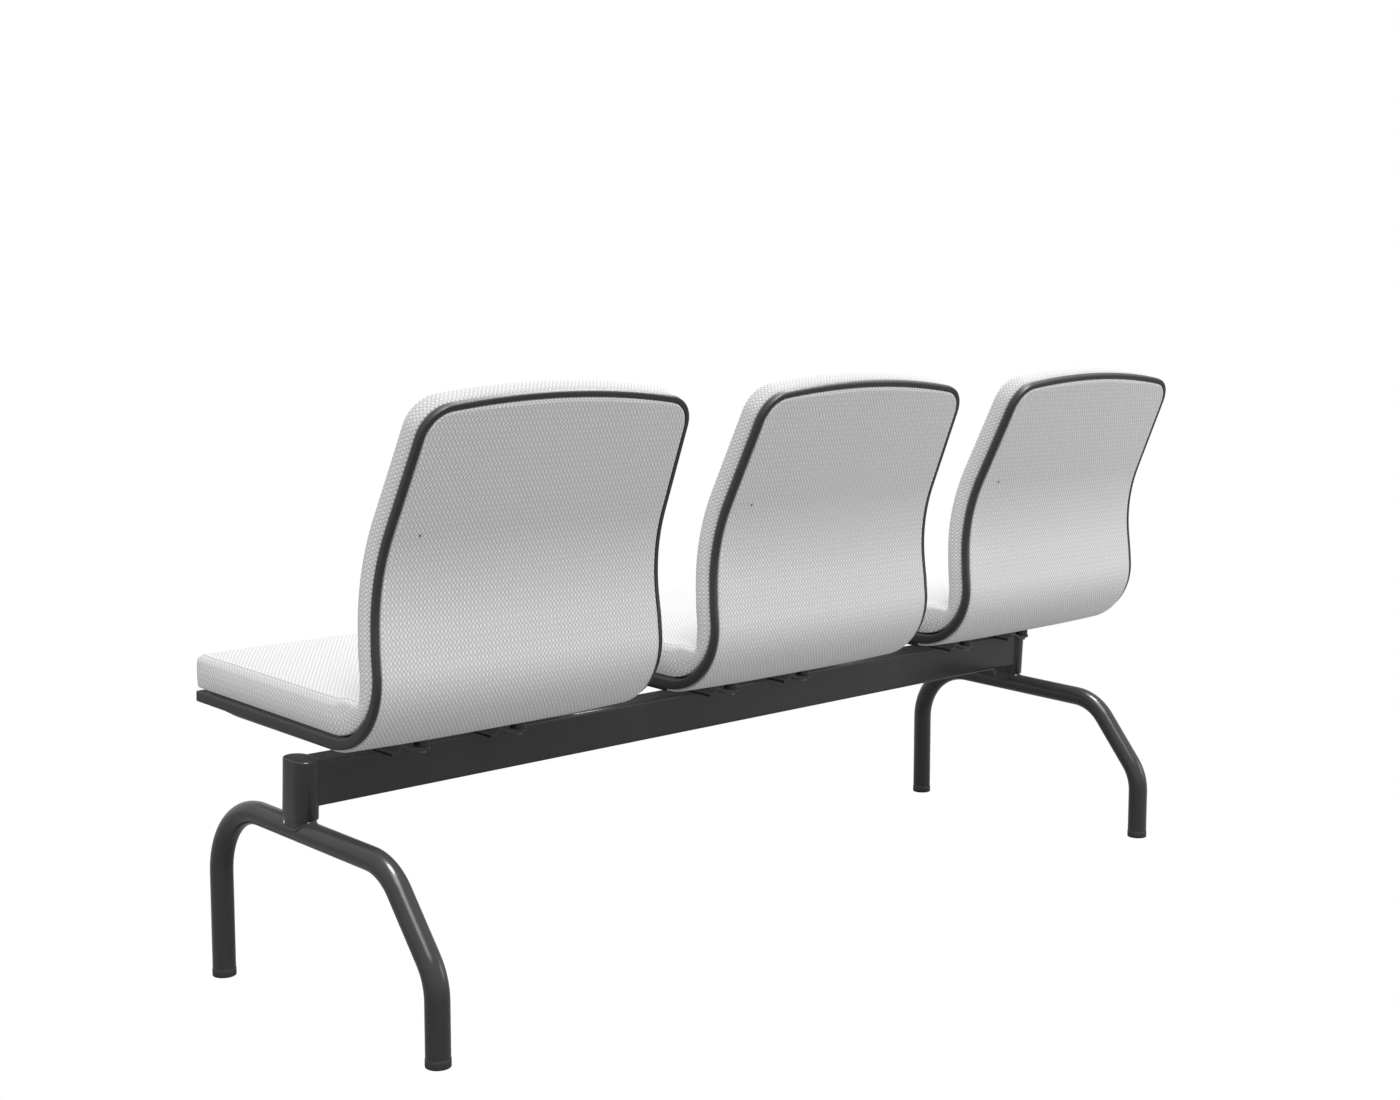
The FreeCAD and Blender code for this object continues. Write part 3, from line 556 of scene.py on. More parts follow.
def bracket_plan():
    """Outline (x, u) of the sheet seen from above: two round ears, a notch between them, a square lip."""
    points = []
    ear_u = BRACKET_HALF - EAR_R
    for i in range(13):
        a = math.radians(90.0 + 90.0 * i / 12)
        points.append((EAR_R * math.cos(a), ear_u + EAR_R * math.sin(a)))
    for i in range(1, 10):
        a = math.radians(180.0 + 80.0 * i / 9)
        points.append((EAR_R * math.cos(a), ear_u + EAR_R * math.sin(a)))
    points = points + [(px, -pu) for px, pu in reversed(points)]
    return points + [(LIP_END, -BRACKET_HALF), (LIP_END, BRACKET_HALF)]


def make_bracket(name, x):
    """The folded sheet with its bolt axis at x."""
    form = bmesh.new()
    outline = [form.verts.new((px, pu, 0.0)) for px, pu in bracket_plan()]
    form.faces.new(outline)
    cuts = [-8.0, -4.0, 0.0, 8.0, 17.0] + [18.0 + 1.2 * i for i in range(32)]
    for cut in cuts:
        bmesh.ops.bisect_plane(form, geom=form.verts[:] + form.edges[:] + form.faces[:],
                               plane_co=(cut, 0.0, 0.0), plane_no=(1.0, 0.0, 0.0))
    flat = form.faces[:]
    raised = bmesh.ops.extrude_face_region(form, geom=flat)
    for vertex in [g for g in raised["geom"] if isinstance(g, bmesh.types.BMVert)]:
        vertex.co.z = 1.0
    for vertex in form.verts:
        line_used = upper_line if vertex.co.z > 0.5 else lower_line
        v = BEAM_TOP + height_at(line_used, vertex.co.x)
        vertex.co = tilted(x + vertex.co.x * MM, vertex.co.y, v)
    bmesh.ops.recalc_face_normals(form, faces=form.faces)
    mesh = bpy.data.meshes.new(name)
    form.to_mesh(mesh)
    form.free()
    return link(name, mesh)


def soften(thing, width, segments=2, angle=40.0):
    """Small round edges by a bevel, applied."""
    bevel = thing.modifiers.new("soft_edges", "BEVEL")
    bevel.width = width * MM
    bevel.segments = segments
    bevel.limit_method = "ANGLE"
    bevel.angle_limit = math.radians(angle)
    bevel.use_clamp_overlap = True
    return baked(thing)


for seat in SEATS:
    for hand, offset in (("left", BOLT_SPACING / 2), ("right", -BOLT_SPACING / 2)):
        bracket = soften(make_bracket(seat + "_sheet_" + hand, shell_x[seat] + offset * MM), 0.5)
        dress(bracket, PAINT, [seat + "_bracket_" + hand], 40.0)

# Spacers and bolts. Four short plastic bushes stand between the ears and each seat. A zinc-plated
# hexagon bolt goes up through each ear and bush into the seat.
SPACER_R = 11.0
SPACER_HEIGHT = 13.0
HEAD_FLATS = 13.0
HEAD_HEIGHT = 5.5
BOLT_U = BRACKET_HALF - EAR_R
PLATE_TOP = BEAM_TOP + SHEET


def set_out_tree():
    """Copies of a pattern object at every point of the mesh, turned back with the beam."""
    tree, start, end = new_tree("set_out", (("Geometry", "NodeSocketGeometry"),
                                            ("Pattern", "NodeSocketObject"),
                                            ("Tilt", "NodeSocketVector"),
                                            ("Finish", "NodeSocketMaterial")))
    pattern = tree.nodes.new("GeometryNodeObjectInfo")
    spread = tree.nodes.new("GeometryNodeInstanceOnPoints")
    real = tree.nodes.new("GeometryNodeRealizeInstances")
    finish = tree.nodes.new("GeometryNodeSetMaterial")
    wire(tree, (start, "Pattern", pattern, "Object"), (start, "Geometry", spread, "Points"),
               (pattern, "Geometry", spread, "Instance"), (start, "Tilt", spread, "Rotation"),
               (spread, "Instances", real, "Geometry"), (real, "Geometry", finish, "Geometry"),
               (start, "Finish", finish, "Material"), (finish, "Geometry", end, "Geometry"))
    return tree


def turned(name, levels, sides, twist=0.0):
    """A round or many-sided pattern piece through levels of (radius, height) in mm."""
    rings = []
    for radius, z in levels:
        angles = [2 * math.pi * i / sides + twist for i in range(sides)]
        rings.append([(radius * MM * math.cos(a), radius * MM * math.sin(a), z * MM) for a in angles])
    return loft(name, rings)


SET_OUT = set_out_tree()
ZINC = grained_material("dark_zinc", (0.10, 0.10, 0.105), (0.16, 0.16, 0.165), 0.34, 0.2, 1800.0, 0.00004)
ZINC.node_tree.nodes["Principled BSDF"].inputs["Metallic"].default_value = 0.85
SHELL_PLASTIC = grained_material("shell_dark_plastic", (0.017, 0.017, 0.017), (0.022, 0.022, 0.022),
                                 0.46, 0.1, 2600.0, 0.00008)
head_r = HEAD_FLATS / math.sqrt(3)
head = turned("head_pattern", [(head_r - 1.3, -HEAD_HEIGHT), (head_r, -HEAD_HEIGHT + 0.8), (head_r, -0.6)], 6)
washer = turned("washer_pattern", [(8.0, -0.6), (8.2, -0.4), (8.2, 0.0)], 32)
bolt_pattern = join("bolt_pattern", [head, washer])
bush_levels = [(SPACER_R - 0.8, 0.0), (SPACER_R, 0.8), (SPACER_R, SPACER_HEIGHT - 0.8),
               (SPACER_R - 0.8, SPACER_HEIGHT)]
bush_pattern = turned("bush_pattern", bush_levels, 40)
for seat in SEATS:
    spots_across = [shell_x[seat] + way * BOLT_SPACING / 2 * MM for way in (1, -1)]
    for name, pattern, v, finish, slot in (
            ("bolts", bolt_pattern, BEAM_TOP, ZINC, "bolt_steel"),
            ("spacers", bush_pattern, PLATE_TOP, SHELL_PLASTIC, "shell_plastic")):
        places = bpy.data.meshes.new(seat + "_" + name + "_places")
        spots = [tilted(x, u, v) for x in spots_across for u in (-BOLT_U, BOLT_U)]
        places.from_pydata(spots, [], [])
        made = wear_tree(link(seat + "_" + name + "_set", places), SET_OUT,
                         {"Pattern": pattern, "Tilt": (-TILT, 0.0, 0.0), "Finish": finish})
        dress(made, finish, [seat + "_" + name])
for pattern in (bolt_pattern, bush_pattern):
    bpy.data.objects.remove(pattern)

# Seat shells. One moulded dark shell to each seat, bent from seat to back. A rim runs all round it,
# with the cushion in front of it and the rear panel and the under cover set inside it behind.
SHELL_FRONT = -264.0
SHELL_BOTTOM = 58.5
SEAT_BEND = 181.0
SEAT_BEND_R = 100.0
LUMBAR_U = 150.2
LUMBAR_HEIGHT = 227.5
LUMBAR_R = 250.0
BACK_LEAN = math.radians(21.2)
BACK_LENGTH = 253.0
SHELL_WALL = 5.0
RIM_DEPTH_SEAT = 15.0
RIM_DEPTH_BACK = 10.0
RIM_WIDTH = 7.5
RIM_BEVEL = 2.0
FIT_GAP = 0.3
COLUMNS = 60
CORNER_STEPS = 7
LIFT_REACH = 150.0
HALF_WIDTH_FRONT = 241.0
HALF_WIDTH_BEND = 245.3
HALF_WIDTH_LUMBAR = 240.0
HALF_WIDTH_TOP = 223.0
FRONT_CORNER_R = 3.0
TOP_CORNER_R = 48.0
TOP_ARCH_R = 1297.0
LUMBAR_V = SHELL_BOTTOM + LUMBAR_HEIGHT
back_top = (LUMBAR_U + BACK_LENGTH * math.sin(BACK_LEAN), LUMBAR_V + BACK_LENGTH * math.cos(BACK_LEAN))
shell_line = Track([(SHELL_FRONT, SHELL_BOTTOM), (SEAT_BEND, SHELL_BOTTOM), (LUMBAR_U, LUMBAR_V), back_top],
                   [SEAT_BEND_R, LUMBAR_R])
BEND_START, BEND_END = shell_line.ends[0], shell_line.ends[1]
BEND_TURN = shell_line.spans[1][3]
TOP_AT = shell_line.length
LUMBAR_AT = TOP_AT - BACK_LENGTH


def bend_share(s):
    """0 on the seat, 1 on the back, even in between."""
    return min(max((s - BEND_START) / (BEND_END - BEND_START), 0.0), 1.0)


def rim_depth(s):
    return RIM_DEPTH_SEAT + (RIM_DEPTH_BACK - RIM_DEPTH_SEAT) * bend_share(s)


def wrapped(seat, x, s, gap):
    """A point of a seat: x across, s along the shell's outer line from its front edge, gap to the front."""
    (pu, pv), (nu, nv) = shell_line.at(s)
    return tilted(shell_x[seat] + x * MM, pu + nu * gap, pv + nv * gap)


def side_x(s):
    """Half width of the shell at the distance s."""
    (pu, pv), _ = shell_line.at(s)
    share = min(s / BEND_START, 1.0)
    flat = HALF_WIDTH_FRONT + (HALF_WIDTH_BEND - HALF_WIDTH_FRONT) * share
    up = (pu - LUMBAR_U) * math.sin(BACK_LEAN) + (pv - LUMBAR_V) * math.cos(BACK_LEAN)
    return min(flat, HALF_WIDTH_LUMBAR - (HALF_WIDTH_LUMBAR - HALF_WIDTH_TOP) * up / BACK_LENGTH)


def side_points(front, corner_r, inset=0.0, step=8.0):
    """Points (x, s) up the right side of the flat seat, through both of its round corners."""
    slope = math.atan((HALF_WIDTH_LUMBAR - HALF_WIDTH_TOP) / BACK_LENGTH)
    side = (-math.sin(slope), math.cos(slope))
    arch_centre = TOP_AT - TOP_ARCH_R
    top_r = TOP_CORNER_R - inset
    run = (HALF_WIDTH_LUMBAR - inset - top_r * math.cos(slope), LUMBAR_AT - top_r * math.sin(slope))
    along = run[0] * side[0] + (run[1] - arch_centre) * side[1]
    across = run[0] ** 2 + (run[1] - arch_centre) ** 2 - (TOP_ARCH_R - TOP_CORNER_R) ** 2
    reach = -along + math.sqrt(along ** 2 - across)
    cx, cs = run[0] + side[0] * reach, run[1] + side[1] * reach
    corner = side_x(front + corner_r) - inset - corner_r
    points = []
    for i in range(CORNER_STEPS + 1):
        a = math.pi / 2 * i / CORNER_STEPS
        points.append((corner + corner_r * math.sin(a), front + corner_r * (1 - math.cos(a))))
    first = front + corner_r
    last = cs + top_r * math.sin(slope)
    count = max(int((last - first) / step), 1)
    points += [(side_x(s) - inset, s) for s in (first + (last - first) * i / count for i in range(1, count))]
    out = math.atan2(cs - arch_centre, cx)
    for i in range(2 * CORNER_STEPS + 1):
        a = slope + (out - slope) * i / (2 * CORNER_STEPS)
        points.append((cx + top_r * math.cos(a), cs + top_r * math.sin(a)))
    return points


def seat_loop(side, inset=0.0):
    """The whole outline: front edge from the left, right side, arched top, left side downwards."""
    (x0, s0), (x1, s1) = side[0], side[-1]
    arch_r = TOP_ARCH_R - inset
    shares = [1 - 2 * i / COLUMNS for i in range(COLUMNS)]
    front = [(-x0 * share, s0) for share in shares]
    top = [(x1 * share, s1 + math.sqrt(arch_r ** 2 - (x1 * share) ** 2) - math.sqrt(arch_r ** 2 - x1 ** 2))
           for share in shares[1:]]
    return front + side + top + [(-x, s) for x, s in reversed(side[1:])]


def inward_of(loop):
    """The inward direction at each point of the outline."""
    found = []
    for i in range(len(loop)):
        a, b = loop[i - 1], loop[(i + 1) % len(loop)]
        dx, ds = unit(b[0] - a[0], b[1] - a[1])
        found.append((-ds, dx))
    return found


def flat_rings(loop, profile):
    """Flat points (x, s, gap), one ring for each (inset, gap) of the profile; gap is a function of s."""
    inward = inward_of(loop)
    return [[(x + nx * inset, s + ns * inset, gap(s + ns * inset))
             for (x, s), (nx, ns) in zip(loop, inward)] for inset, gap in profile]


def grid_fill(points, ring, first, rows, crown):
    """Fills the inside of a ring with a grid of quads; adds the inner points and gives the faces."""
    size = len(ring)
    inner = len(points)

    def index(i, c):
        if i == 0:
            return first + c
        if i == rows:
            return first + 2 * COLUMNS + rows - c
        if c == 0:
            return first + size - i
        if c == COLUMNS:
            return first + COLUMNS + i
        return inner + (i - 1) * (COLUMNS - 1) + c - 1
    end_s = ring[COLUMNS + rows][1]
    for i in range(1, rows):
        xl, sl, gl = ring[size - i]
        xr = ring[COLUMNS + i][0]
        weight = max(1 - (end_s - sl) / LIFT_REACH, 0.0) ** 2
        for c in range(1, COLUMNS):
            share = c / COLUMNS
            lift = weight * (ring[2 * COLUMNS + rows - c][1] - end_s)
            points.append((xl + (xr - xl) * share, sl + lift, crown(sl + lift, gl, 2 * share - 1, i / rows)))
    return [(index(i, c), index(i, c + 1), index(i + 1, c + 1), index(i + 1, c))
            for i in range(rows) for c in range(COLUMNS)]


def level(s, gap, across, along):
    """A flat filling."""
    return gap


def moulding(name, seat, loop, rows, profile):
    """A hard moulded piece: the profile swept round the outline, both ends filled."""
    rings = flat_rings(loop, profile)
    points = [point for ring in rings for point in ring]
    faces = ring_faces(rings)
    faces += grid_fill(points, rings[0], 0, rows, level)
    faces += grid_fill(points, rings[-1], (len(rings) - 1) * len(loop), rows, level)
    return link(name, raw_mesh(name, [wrapped(seat, *point) for point in points], faces))


def at_gap(value):
    """The same gap everywhere."""
    return lambda s: value


def from_rim(offset):
    """A gap measured from the front of the rim."""
    return lambda s: rim_depth(s) + offset


def rim_profile():
    """Section of the shell's edge as (inset, gap): pocket wall, rear lip, side face, front face."""
    profile = [(RIM_WIDTH + 6.0, from_rim(-SHELL_WALL)), (RIM_WIDTH, from_rim(-SHELL_WALL)),
               (RIM_WIDTH, at_gap(0.8)), (RIM_WIDTH - 0.8, at_gap(0.0))]
    profile += [(RIM_BEVEL * (1 - across), at_gap(RIM_BEVEL * up)) for across, up in quarter_steps(4)]
    profile += [(0.0, from_rim(-1.8)), (0.3, from_rim(-0.8)), (0.9, from_rim(-0.2)), (1.8, from_rim(0.0)),
                (RIM_WIDTH, from_rim(0.0)), (RIM_WIDTH + 6.0, from_rim(0.0))]
    return profile


# Near-black material that is painted shade. It darkens the rim's recess beside the rear panel and the groove
# under each cushion.
PAINTED_SHADE_BLACK = grained_material("painted_shade_black", (0.007, 0.007, 0.007), (0.009, 0.009, 0.009),
                             0.5, 0.1, 2600.0, 0.00008, specular=0.3)
shell_side = side_points(0.0, FRONT_CORNER_R)
shell_loop = seat_loop(shell_side)
for seat in SEATS:
    shell = moulding(seat + "_shell_rim", seat, shell_loop, len(shell_side) - 1, rim_profile())
    shell.data.materials.append(SHELL_PLASTIC)
    shell.data.materials.append(PAINTED_SHADE_BLACK)
    # The first three rings of faces get this painted shade: the pocket wall inside the rim and the lip's
    # inner edge.
    for polygon in shell.data.polygons[:3 * len(shell_loop)]:
        polygon.material_index = 1
    dress(shell, SHELL_PLASTIC, [seat + "_seat_shell"])

# Under covers. A shallow dark plastic pan with sloping sides closes the bottom of each seat, inside
# the shell's rim. The bushes press against bosses that come through its floor.
SEAT_UNDERSIDE = PLATE_TOP + SPACER_HEIGHT
COVER_REAR = 58.0
COVER_SLOPE = 12.0
COVER_RAMP = 5.5
COVER_INSIDE = 9.0
COVER_CORNER_R = 8.0
for seat in SEATS:
    front = SHELL_FRONT + RIM_WIDTH + FIT_GAP
    side = HALF_WIDTH_FRONT - RIM_WIDTH - FIT_GAP
    rings = []
    for inset, v in ((COVER_SLOPE + 3.0, SEAT_UNDERSIDE), (COVER_SLOPE, SEAT_UNDERSIDE + 0.6),
                     (COVER_SLOPE - 1.5, SEAT_UNDERSIDE + 2.0), (2.0, SHELL_BOTTOM - 1.0),
                     (1.0, SHELL_BOTTOM), (1.0, SHELL_BOTTOM + COVER_INSIDE)):
        first = front + 3.0 * min(inset, 2.0) / 2 + COVER_RAMP * max(inset - 2.0, 0.0)
        last = COVER_REAR - 0.5 * max(inset - COVER_SLOPE, 0.0)
        ring = rounded_rectangle(2 * (side - inset), last - first, COVER_CORNER_R, 6)
        middle = (first + last) / 2
        rings.append([tilted(shell_x[seat] + px * MM, middle + pu, v) for px, pu in ring])
    cover = loft(seat + "_pan", rings)
    dress(cover, SHELL_PLASTIC, [seat + "_seat_under_cover"])

# Front cushions. One upholstered foam cushion over seat and back of each shell. Its woven cover has a
# boxing strip round the sides, sewn to the face just inside the rounded edge, and is drawn in below.
# The lower edge is given as inset and height, the side as inset and share of the height, in mm.
PAD_OVERHANG = 7.6
PAD_GROOVE = 3.8
PAD_SHADOW = 16.0
PAD_THICK_SEAT = 48.0
PAD_THICK_BACK = 33.0
PAD_CORNER_R = 12.0
PAD_EDGE_R = 9.0
PAD_CROWN = 3.5
PAD_CORNER_SOFT = 5.0
PAD_LOWER_EDGE = ((7.0, 0.0), (4.6, 0.2), (3.3, 1.0), (2.8, 2.4))
PAD_SIDE = ((2.2, 0.14), (1.6, 0.28), (1.3, 0.42), (1.2, 0.56))
PAD_PRESSURE = 4.0
PAD_CAP = 1.8
SEAM_INSET = 9.6
SEAM_DEPTH = 1.0
WEAVE_ACROSS = 0.0063
WEAVE_ALONG = 0.0080
WEAVE_HEIGHT = 0.0005
LARGE_DOT = 0.31
SMALL_DOT = 0.22


def dot_group():
    """Woven rows of raised oval dots, every second row half a step over: a mask and a height."""
    tree = bpy.data.node_groups.new("woven_dots", "ShaderNodeTree")
    tree.interface.new_socket("Vector", in_out="INPUT", socket_type="NodeSocketVector")
    tree.interface.new_socket("Dots", in_out="OUTPUT", socket_type="NodeSocketFloat")
    tree.interface.new_socket("Height", in_out="OUTPUT", socket_type="NodeSocketFloat")
    inside = tree.nodes.new("NodeGroupInput")
    outside = tree.nodes.new("NodeGroupOutput")
    parts = tree.nodes.new("ShaderNodeSeparateXYZ")
    tree.links.new(inside.outputs["Vector"], parts.inputs[0])
    across = math_node(tree, "DIVIDE", parts.outputs["X"], WEAVE_ACROSS)
    along = math_node(tree, "DIVIDE", parts.outputs["Y"], WEAVE_ALONG)
    masks = []
    for start, radius in ((0.0, LARGE_DOT), (0.5, SMALL_DOT)):
        spans = []
        for value, stretch in ((across, 1.18), (along, 0.86)):
            cell = math_node(tree, "FRACT", math_node(tree, "ADD", value, start))
            spans.append(math_node(tree, "MULTIPLY", math_node(tree, "SUBTRACT", cell, 0.5), stretch))
        squares = [math_node(tree, "POWER", math_node(tree, "ABSOLUTE", span), 2.0) for span in spans]
        away = math_node(tree, "SQRT", math_node(tree, "ADD", squares[0], squares[1]))
        edge = tree.nodes.new("ShaderNodeMapRange")
        edge.interpolation_type = "SMOOTHSTEP"
        set_inputs(edge, {"From Min": radius + 0.10, "From Max": radius - 0.12})
        tree.links.new(away, edge.inputs["Value"])
        masks.append(edge.outputs["Result"])
    dots = math_node(tree, "MAXIMUM", masks[0], masks[1])
    thread = tree.nodes.new("ShaderNodeTexNoise")
    thread.inputs["Scale"].default_value = 1500.0
    tree.links.new(inside.outputs["Vector"], thread.inputs["Vector"])
    fuzz = math_node(tree, "MULTIPLY", thread.outputs["Fac"], 0.25)
    tree.links.new(dots, outside.inputs["Dots"])
    tree.links.new(math_node(tree, "ADD", dots, fuzz), outside.inputs["Height"])
    return tree


def woven_material(name, ground, dot, seam):
    """Light upholstery cloth; the pattern follows the piece's own weave map."""
    material = bpy.data.materials.new(name)
    material.use_nodes = True
    tree = material.node_tree
    surface = tree.nodes["Principled BSDF"]
    place = tree.nodes.new("ShaderNodeUVMap")
    place.uv_map = "weave"
    weave = tree.nodes.new("ShaderNodeGroup")
    weave.node_tree = dot_group()
    tone = two_tones(tree, ground, dot)
    line_mark = tree.nodes.new("ShaderNodeAttribute")
    line_mark.attribute_name = "seam"
    sewn = two_tones(tree, second=seam)
    wire(tree, (place, "UV", weave, "Vector"), (weave, "Dots", tone, 0), (tone, 2, sewn, 6),
               (line_mark, "Fac", sewn, 0), (sewn, 2, surface, "Base Color"))
    raise_surface(tree, surface, weave.outputs["Height"], WEAVE_HEIGHT, 0.35)
    for label, value in (("Roughness", 0.88), ("Specular IOR Level", 0.25), ("Sheen Weight", 0.12),
                         ("Sheen Roughness", 0.5)):
        surface.inputs[label].default_value = value
    return material


FABRIC = woven_material("light_grey_weave", (0.53, 0.53, 0.53), (0.80, 0.80, 0.80), (0.48, 0.48, 0.48))


def pad_face(s):
    """Gap from the shell's outer line to the cushion's face; the inner corner is tighter than the bend."""
    seat = RIM_DEPTH_SEAT + PAD_GROOVE + PAD_THICK_SEAT
    back = RIM_DEPTH_BACK + PAD_GROOVE + PAD_THICK_BACK
    share = bend_share(s)
    if share <= 0:
        return seat
    if share >= 1:
        return back
    angle = share * BEND_TURN
    to_seat = (SEAT_BEND_R - seat) / max(math.cos(angle), 0.01)
    to_back = (SEAT_BEND_R - back) / max(math.cos(BEND_TURN - angle), 0.01)
    return SEAT_BEND_R - min(to_seat, to_back) + PAD_CORNER_SOFT * math.sin(math.pi * share) ** 2


def between(low, high, share, offset=0.0):
    """A gap that lies between two others."""
    return lambda s: low(s) + (high(s) - low(s)) * share + offset


def run_lengths(gap, step=4.0, start=-20.0):
    """Real length along the seat at a gap that depends on s, as a function of s."""
    count = int((TOP_AT - start) / step) + 2
    places = [start + step * i for i in range(count)]
    points = [wrapped(SEATS[0], 0.0, s, gap(s)) for s in places]
    totals = [0.0]
    for a, b in zip(points, points[1:]):
        totals.append(totals[-1] + (b - a).length)

    def found(s):
        i = min(max(int((s - start) / step), 0), count - 2)
        return totals[i] + (totals[i + 1] - totals[i]) * (s - places[i]) / step
    return found


def soft_body(name, loop, rows, profile, crown, face_gap, held_rings, seam_ring=None):
    """A closed stuffed form in flat space, with its weave map and the group of points that stay put."""
    rings = flat_rings(loop, profile)
    size = len(loop)
    last = (len(rings) - 1) * size
    points = [point for ring in rings for point in ring]
    faces = ring_faces(rings)
    side_count = len(faces)
    faces += grid_fill(points, rings[0], 0, rows, level)
    base_end = len(points)
    faces += grid_fill(points, rings[-1], last, rows, crown)
    mesh = bpy.data.meshes.new(name)
    mesh.from_pydata([Vector(point) * MM for point in points], [], faces)
    weave = mesh.uv_layers.new(name="weave")
    along_face = run_lengths(face_gap)
    ring_mid = [wrapped(SEATS[0], *point) for point in rings[len(rings) // 2]]
    round_at = [0.0]
    for j in range(size):
        round_at.append(round_at[-1] + (ring_mid[(j + 1) % size] - ring_mid[j]).length)
    up_at = [[0.0] * size]
    for lower, upper in zip(rings, rings[1:]):
        up_at.append([up_at[-1][j] + math.dist(lower[j], upper[j]) * MM for j in range(size)])
    turn = seam_ring if seam_ring is not None else len(rings) - 3
    for face_number, polygon in enumerate(mesh.polygons):
        ring_number = face_number // size
        on_side = face_number < side_count and ring_number < turn
        for corner, loop_index in zip(faces[face_number], polygon.loop_indices):
            if on_side:
                k, j = divmod(corner, size)
                wraps = face_number % size == size - 1 and j == 0
                weave.data[loop_index].uv = (round_at[size if wraps else j], up_at[k][j])
            else:
                x, s, _ = points[corner]
                weave.data[loop_index].uv = (x * MM, along_face(s))
    mark = mesh.attributes.new("seam", "FLOAT", "POINT")
    if seam_ring is not None:
        for j in range(size):
            mark.data[seam_ring * size + j].value = 1.0
    thing = link(name, mesh)
    held = thing.vertex_groups.new(name="held")
    held.add(list(range(held_rings * size)) + list(range(len(rings) * size, base_end)), 1.0, "REPLACE")
    if seam_ring is not None:
        held.add(list(range(seam_ring * size, (seam_ring + 1) * size)), 1.0, "REPLACE")
    return thing


def puffed(thing, pressure, cap):
    """Blows the cover out from inside as cloth, and limits how far any point may go."""
    rest = [vertex.co.copy() for vertex in thing.data.vertices]
    cloth = thing.modifiers.new("stuffing", "CLOTH")
    cloth.settings.quality = 6
    cloth.settings.mass = 0.3
    cloth.settings.tension_stiffness = 18.0
    cloth.settings.compression_stiffness = 18.0
    cloth.settings.bending_stiffness = 2.0
    cloth.settings.use_pressure = True
    cloth.settings.uniform_pressure_force = pressure
    cloth.settings.vertex_group_mass = "held"
    cloth.settings.effector_weights.gravity = 0.0
    cloth.collision_settings.use_collision = False
    for frame_number in range(1, 21):
        bpy.context.scene.frame_set(frame_number)
    blown = thing.evaluated_get(bpy.context.evaluated_depsgraph_get()).data
    moves = [vertex.co - start for vertex, start in zip(blown.vertices, rest)]
    thing.modifiers.remove(cloth)
    for vertex, start, move in zip(thing.data.vertices, rest, moves):
        vertex.co = start + move * min(1.0, cap * MM / max(move.length, 1e-9))
    bpy.context.scene.frame_set(1)
    return thing


def refined(thing):
    """One level of subdivision, applied."""
    finer = thing.modifiers.new("finer", "SUBSURF")
    finer.levels = finer.render_levels = 1
    finer.uv_smooth = "NONE"
    return baked(thing)


def seated(thing, seat, name):
    """A copy of a flat soft piece, bent to the shell of one seat."""
    mesh = thing.data.copy()
    mesh.name = name
    for vertex in mesh.vertices:
        x, s, gap = vertex.co / MM
        vertex.co = wrapped(seat, x, s, gap)
    return link(name, face_outwards(mesh))


pad_low = from_rim(PAD_GROOVE)
pad_profile = [(inset, between(pad_low, pad_face, 0.0, up)) for inset, up in PAD_LOWER_EDGE]
pad_profile += [(inset, between(pad_low, pad_face, share)) for inset, share in PAD_SIDE]
pad_profile.append((1.3, between(pad_low, pad_face, 1.0, -PAD_EDGE_R - 2.4)))
for i in range(1, 6):
    a = math.radians(15.0 * i)
    pad_profile.append((SEAM_INSET - PAD_EDGE_R * math.cos(a) + 0.9,
                        between(pad_low, pad_face, 1.0, -PAD_EDGE_R * (1 - math.sin(a)) - 2.2)))
seam_ring = len(pad_profile)
pad_profile += [(SEAM_INSET + 0.4, between(pad_low, pad_face, 1.0, -SEAM_DEPTH)),
                (SEAM_INSET + 1.4, between(pad_low, pad_face, 1.0, -0.9)),
                (SEAM_INSET + 2.2, between(pad_low, pad_face, 1.0, -0.4))]


def pad_crown(s, gap, across, along):
    """Height of the cushion's face inside its seam."""
    fall = (1 - across ** 2) * (1 - (2 * along - 1) ** 6)
    return pad_face(s) - 0.4 + PAD_CROWN * fall


pad_side = side_points(-PAD_OVERHANG, PAD_CORNER_R)
flat_pad = soft_body("flat_pad", seat_loop(pad_side), len(pad_side) - 1, pad_profile, pad_crown, pad_face,
                     2, seam_ring)
puffed(flat_pad, PAD_PRESSURE, PAD_CAP)
refined(flat_pad)
rest_side = side_points(PAD_SHADOW, FRONT_CORNER_R, PAD_SHADOW)
rest_loop = seat_loop(rest_side, PAD_SHADOW)
for seat in SEATS:
    cushion = seated(flat_pad, seat, seat + "_cushion_top")
    foot = moulding(seat + "_cushion_base", seat, rest_loop, len(rest_side) - 1,
                    [(0.0, from_rim(0.0)), (0.0, from_rim(PAD_GROOVE + 0.5))])
    groove_shade_faces = len(foot.data.polygons)
    cushion = join(seat + "_cushion", [cushion, foot])
    # The base block under the pad gets painted shade, so the groove between the pad and the rim shows dark.
    cushion.data.materials.append(FABRIC)
    cushion.data.materials.append(PAINTED_SHADE_BLACK)
    for polygon in cushion.data.polygons[-groove_shade_faces:]:
        polygon.material_index = 1
    dress(cushion, FABRIC, [seat + "_front_cushion"], 60.0)
bpy.data.objects.remove(flat_pad)

# Rear panels. A thin padded panel in the same cloth fills the rear of each back inside the shell's
# rim, from the top down round the bend, where it is fullest.
PANEL_FIRST = COVER_REAR - SHELL_FRONT + FIT_GAP
PANEL_ROOM = RIM_WIDTH + FIT_GAP
PANEL_PROUD_BACK = 2.5
PANEL_PROUD_BEND = 6.0
PANEL_CROWN = 3.0
PANEL_CROWN_FADE = 0.7
PANEL_EDGE_R = 2.2
PANEL_CORNER_R = 4.0
PANEL_PRESSURE = 3.0
PANEL_CAP = 1.5


def panel_face(s):
    """Gap of the panel's face at its edges, proudest at the bend."""
    return -(PANEL_PROUD_BEND + (PANEL_PROUD_BACK - PANEL_PROUD_BEND) * bend_share(s))


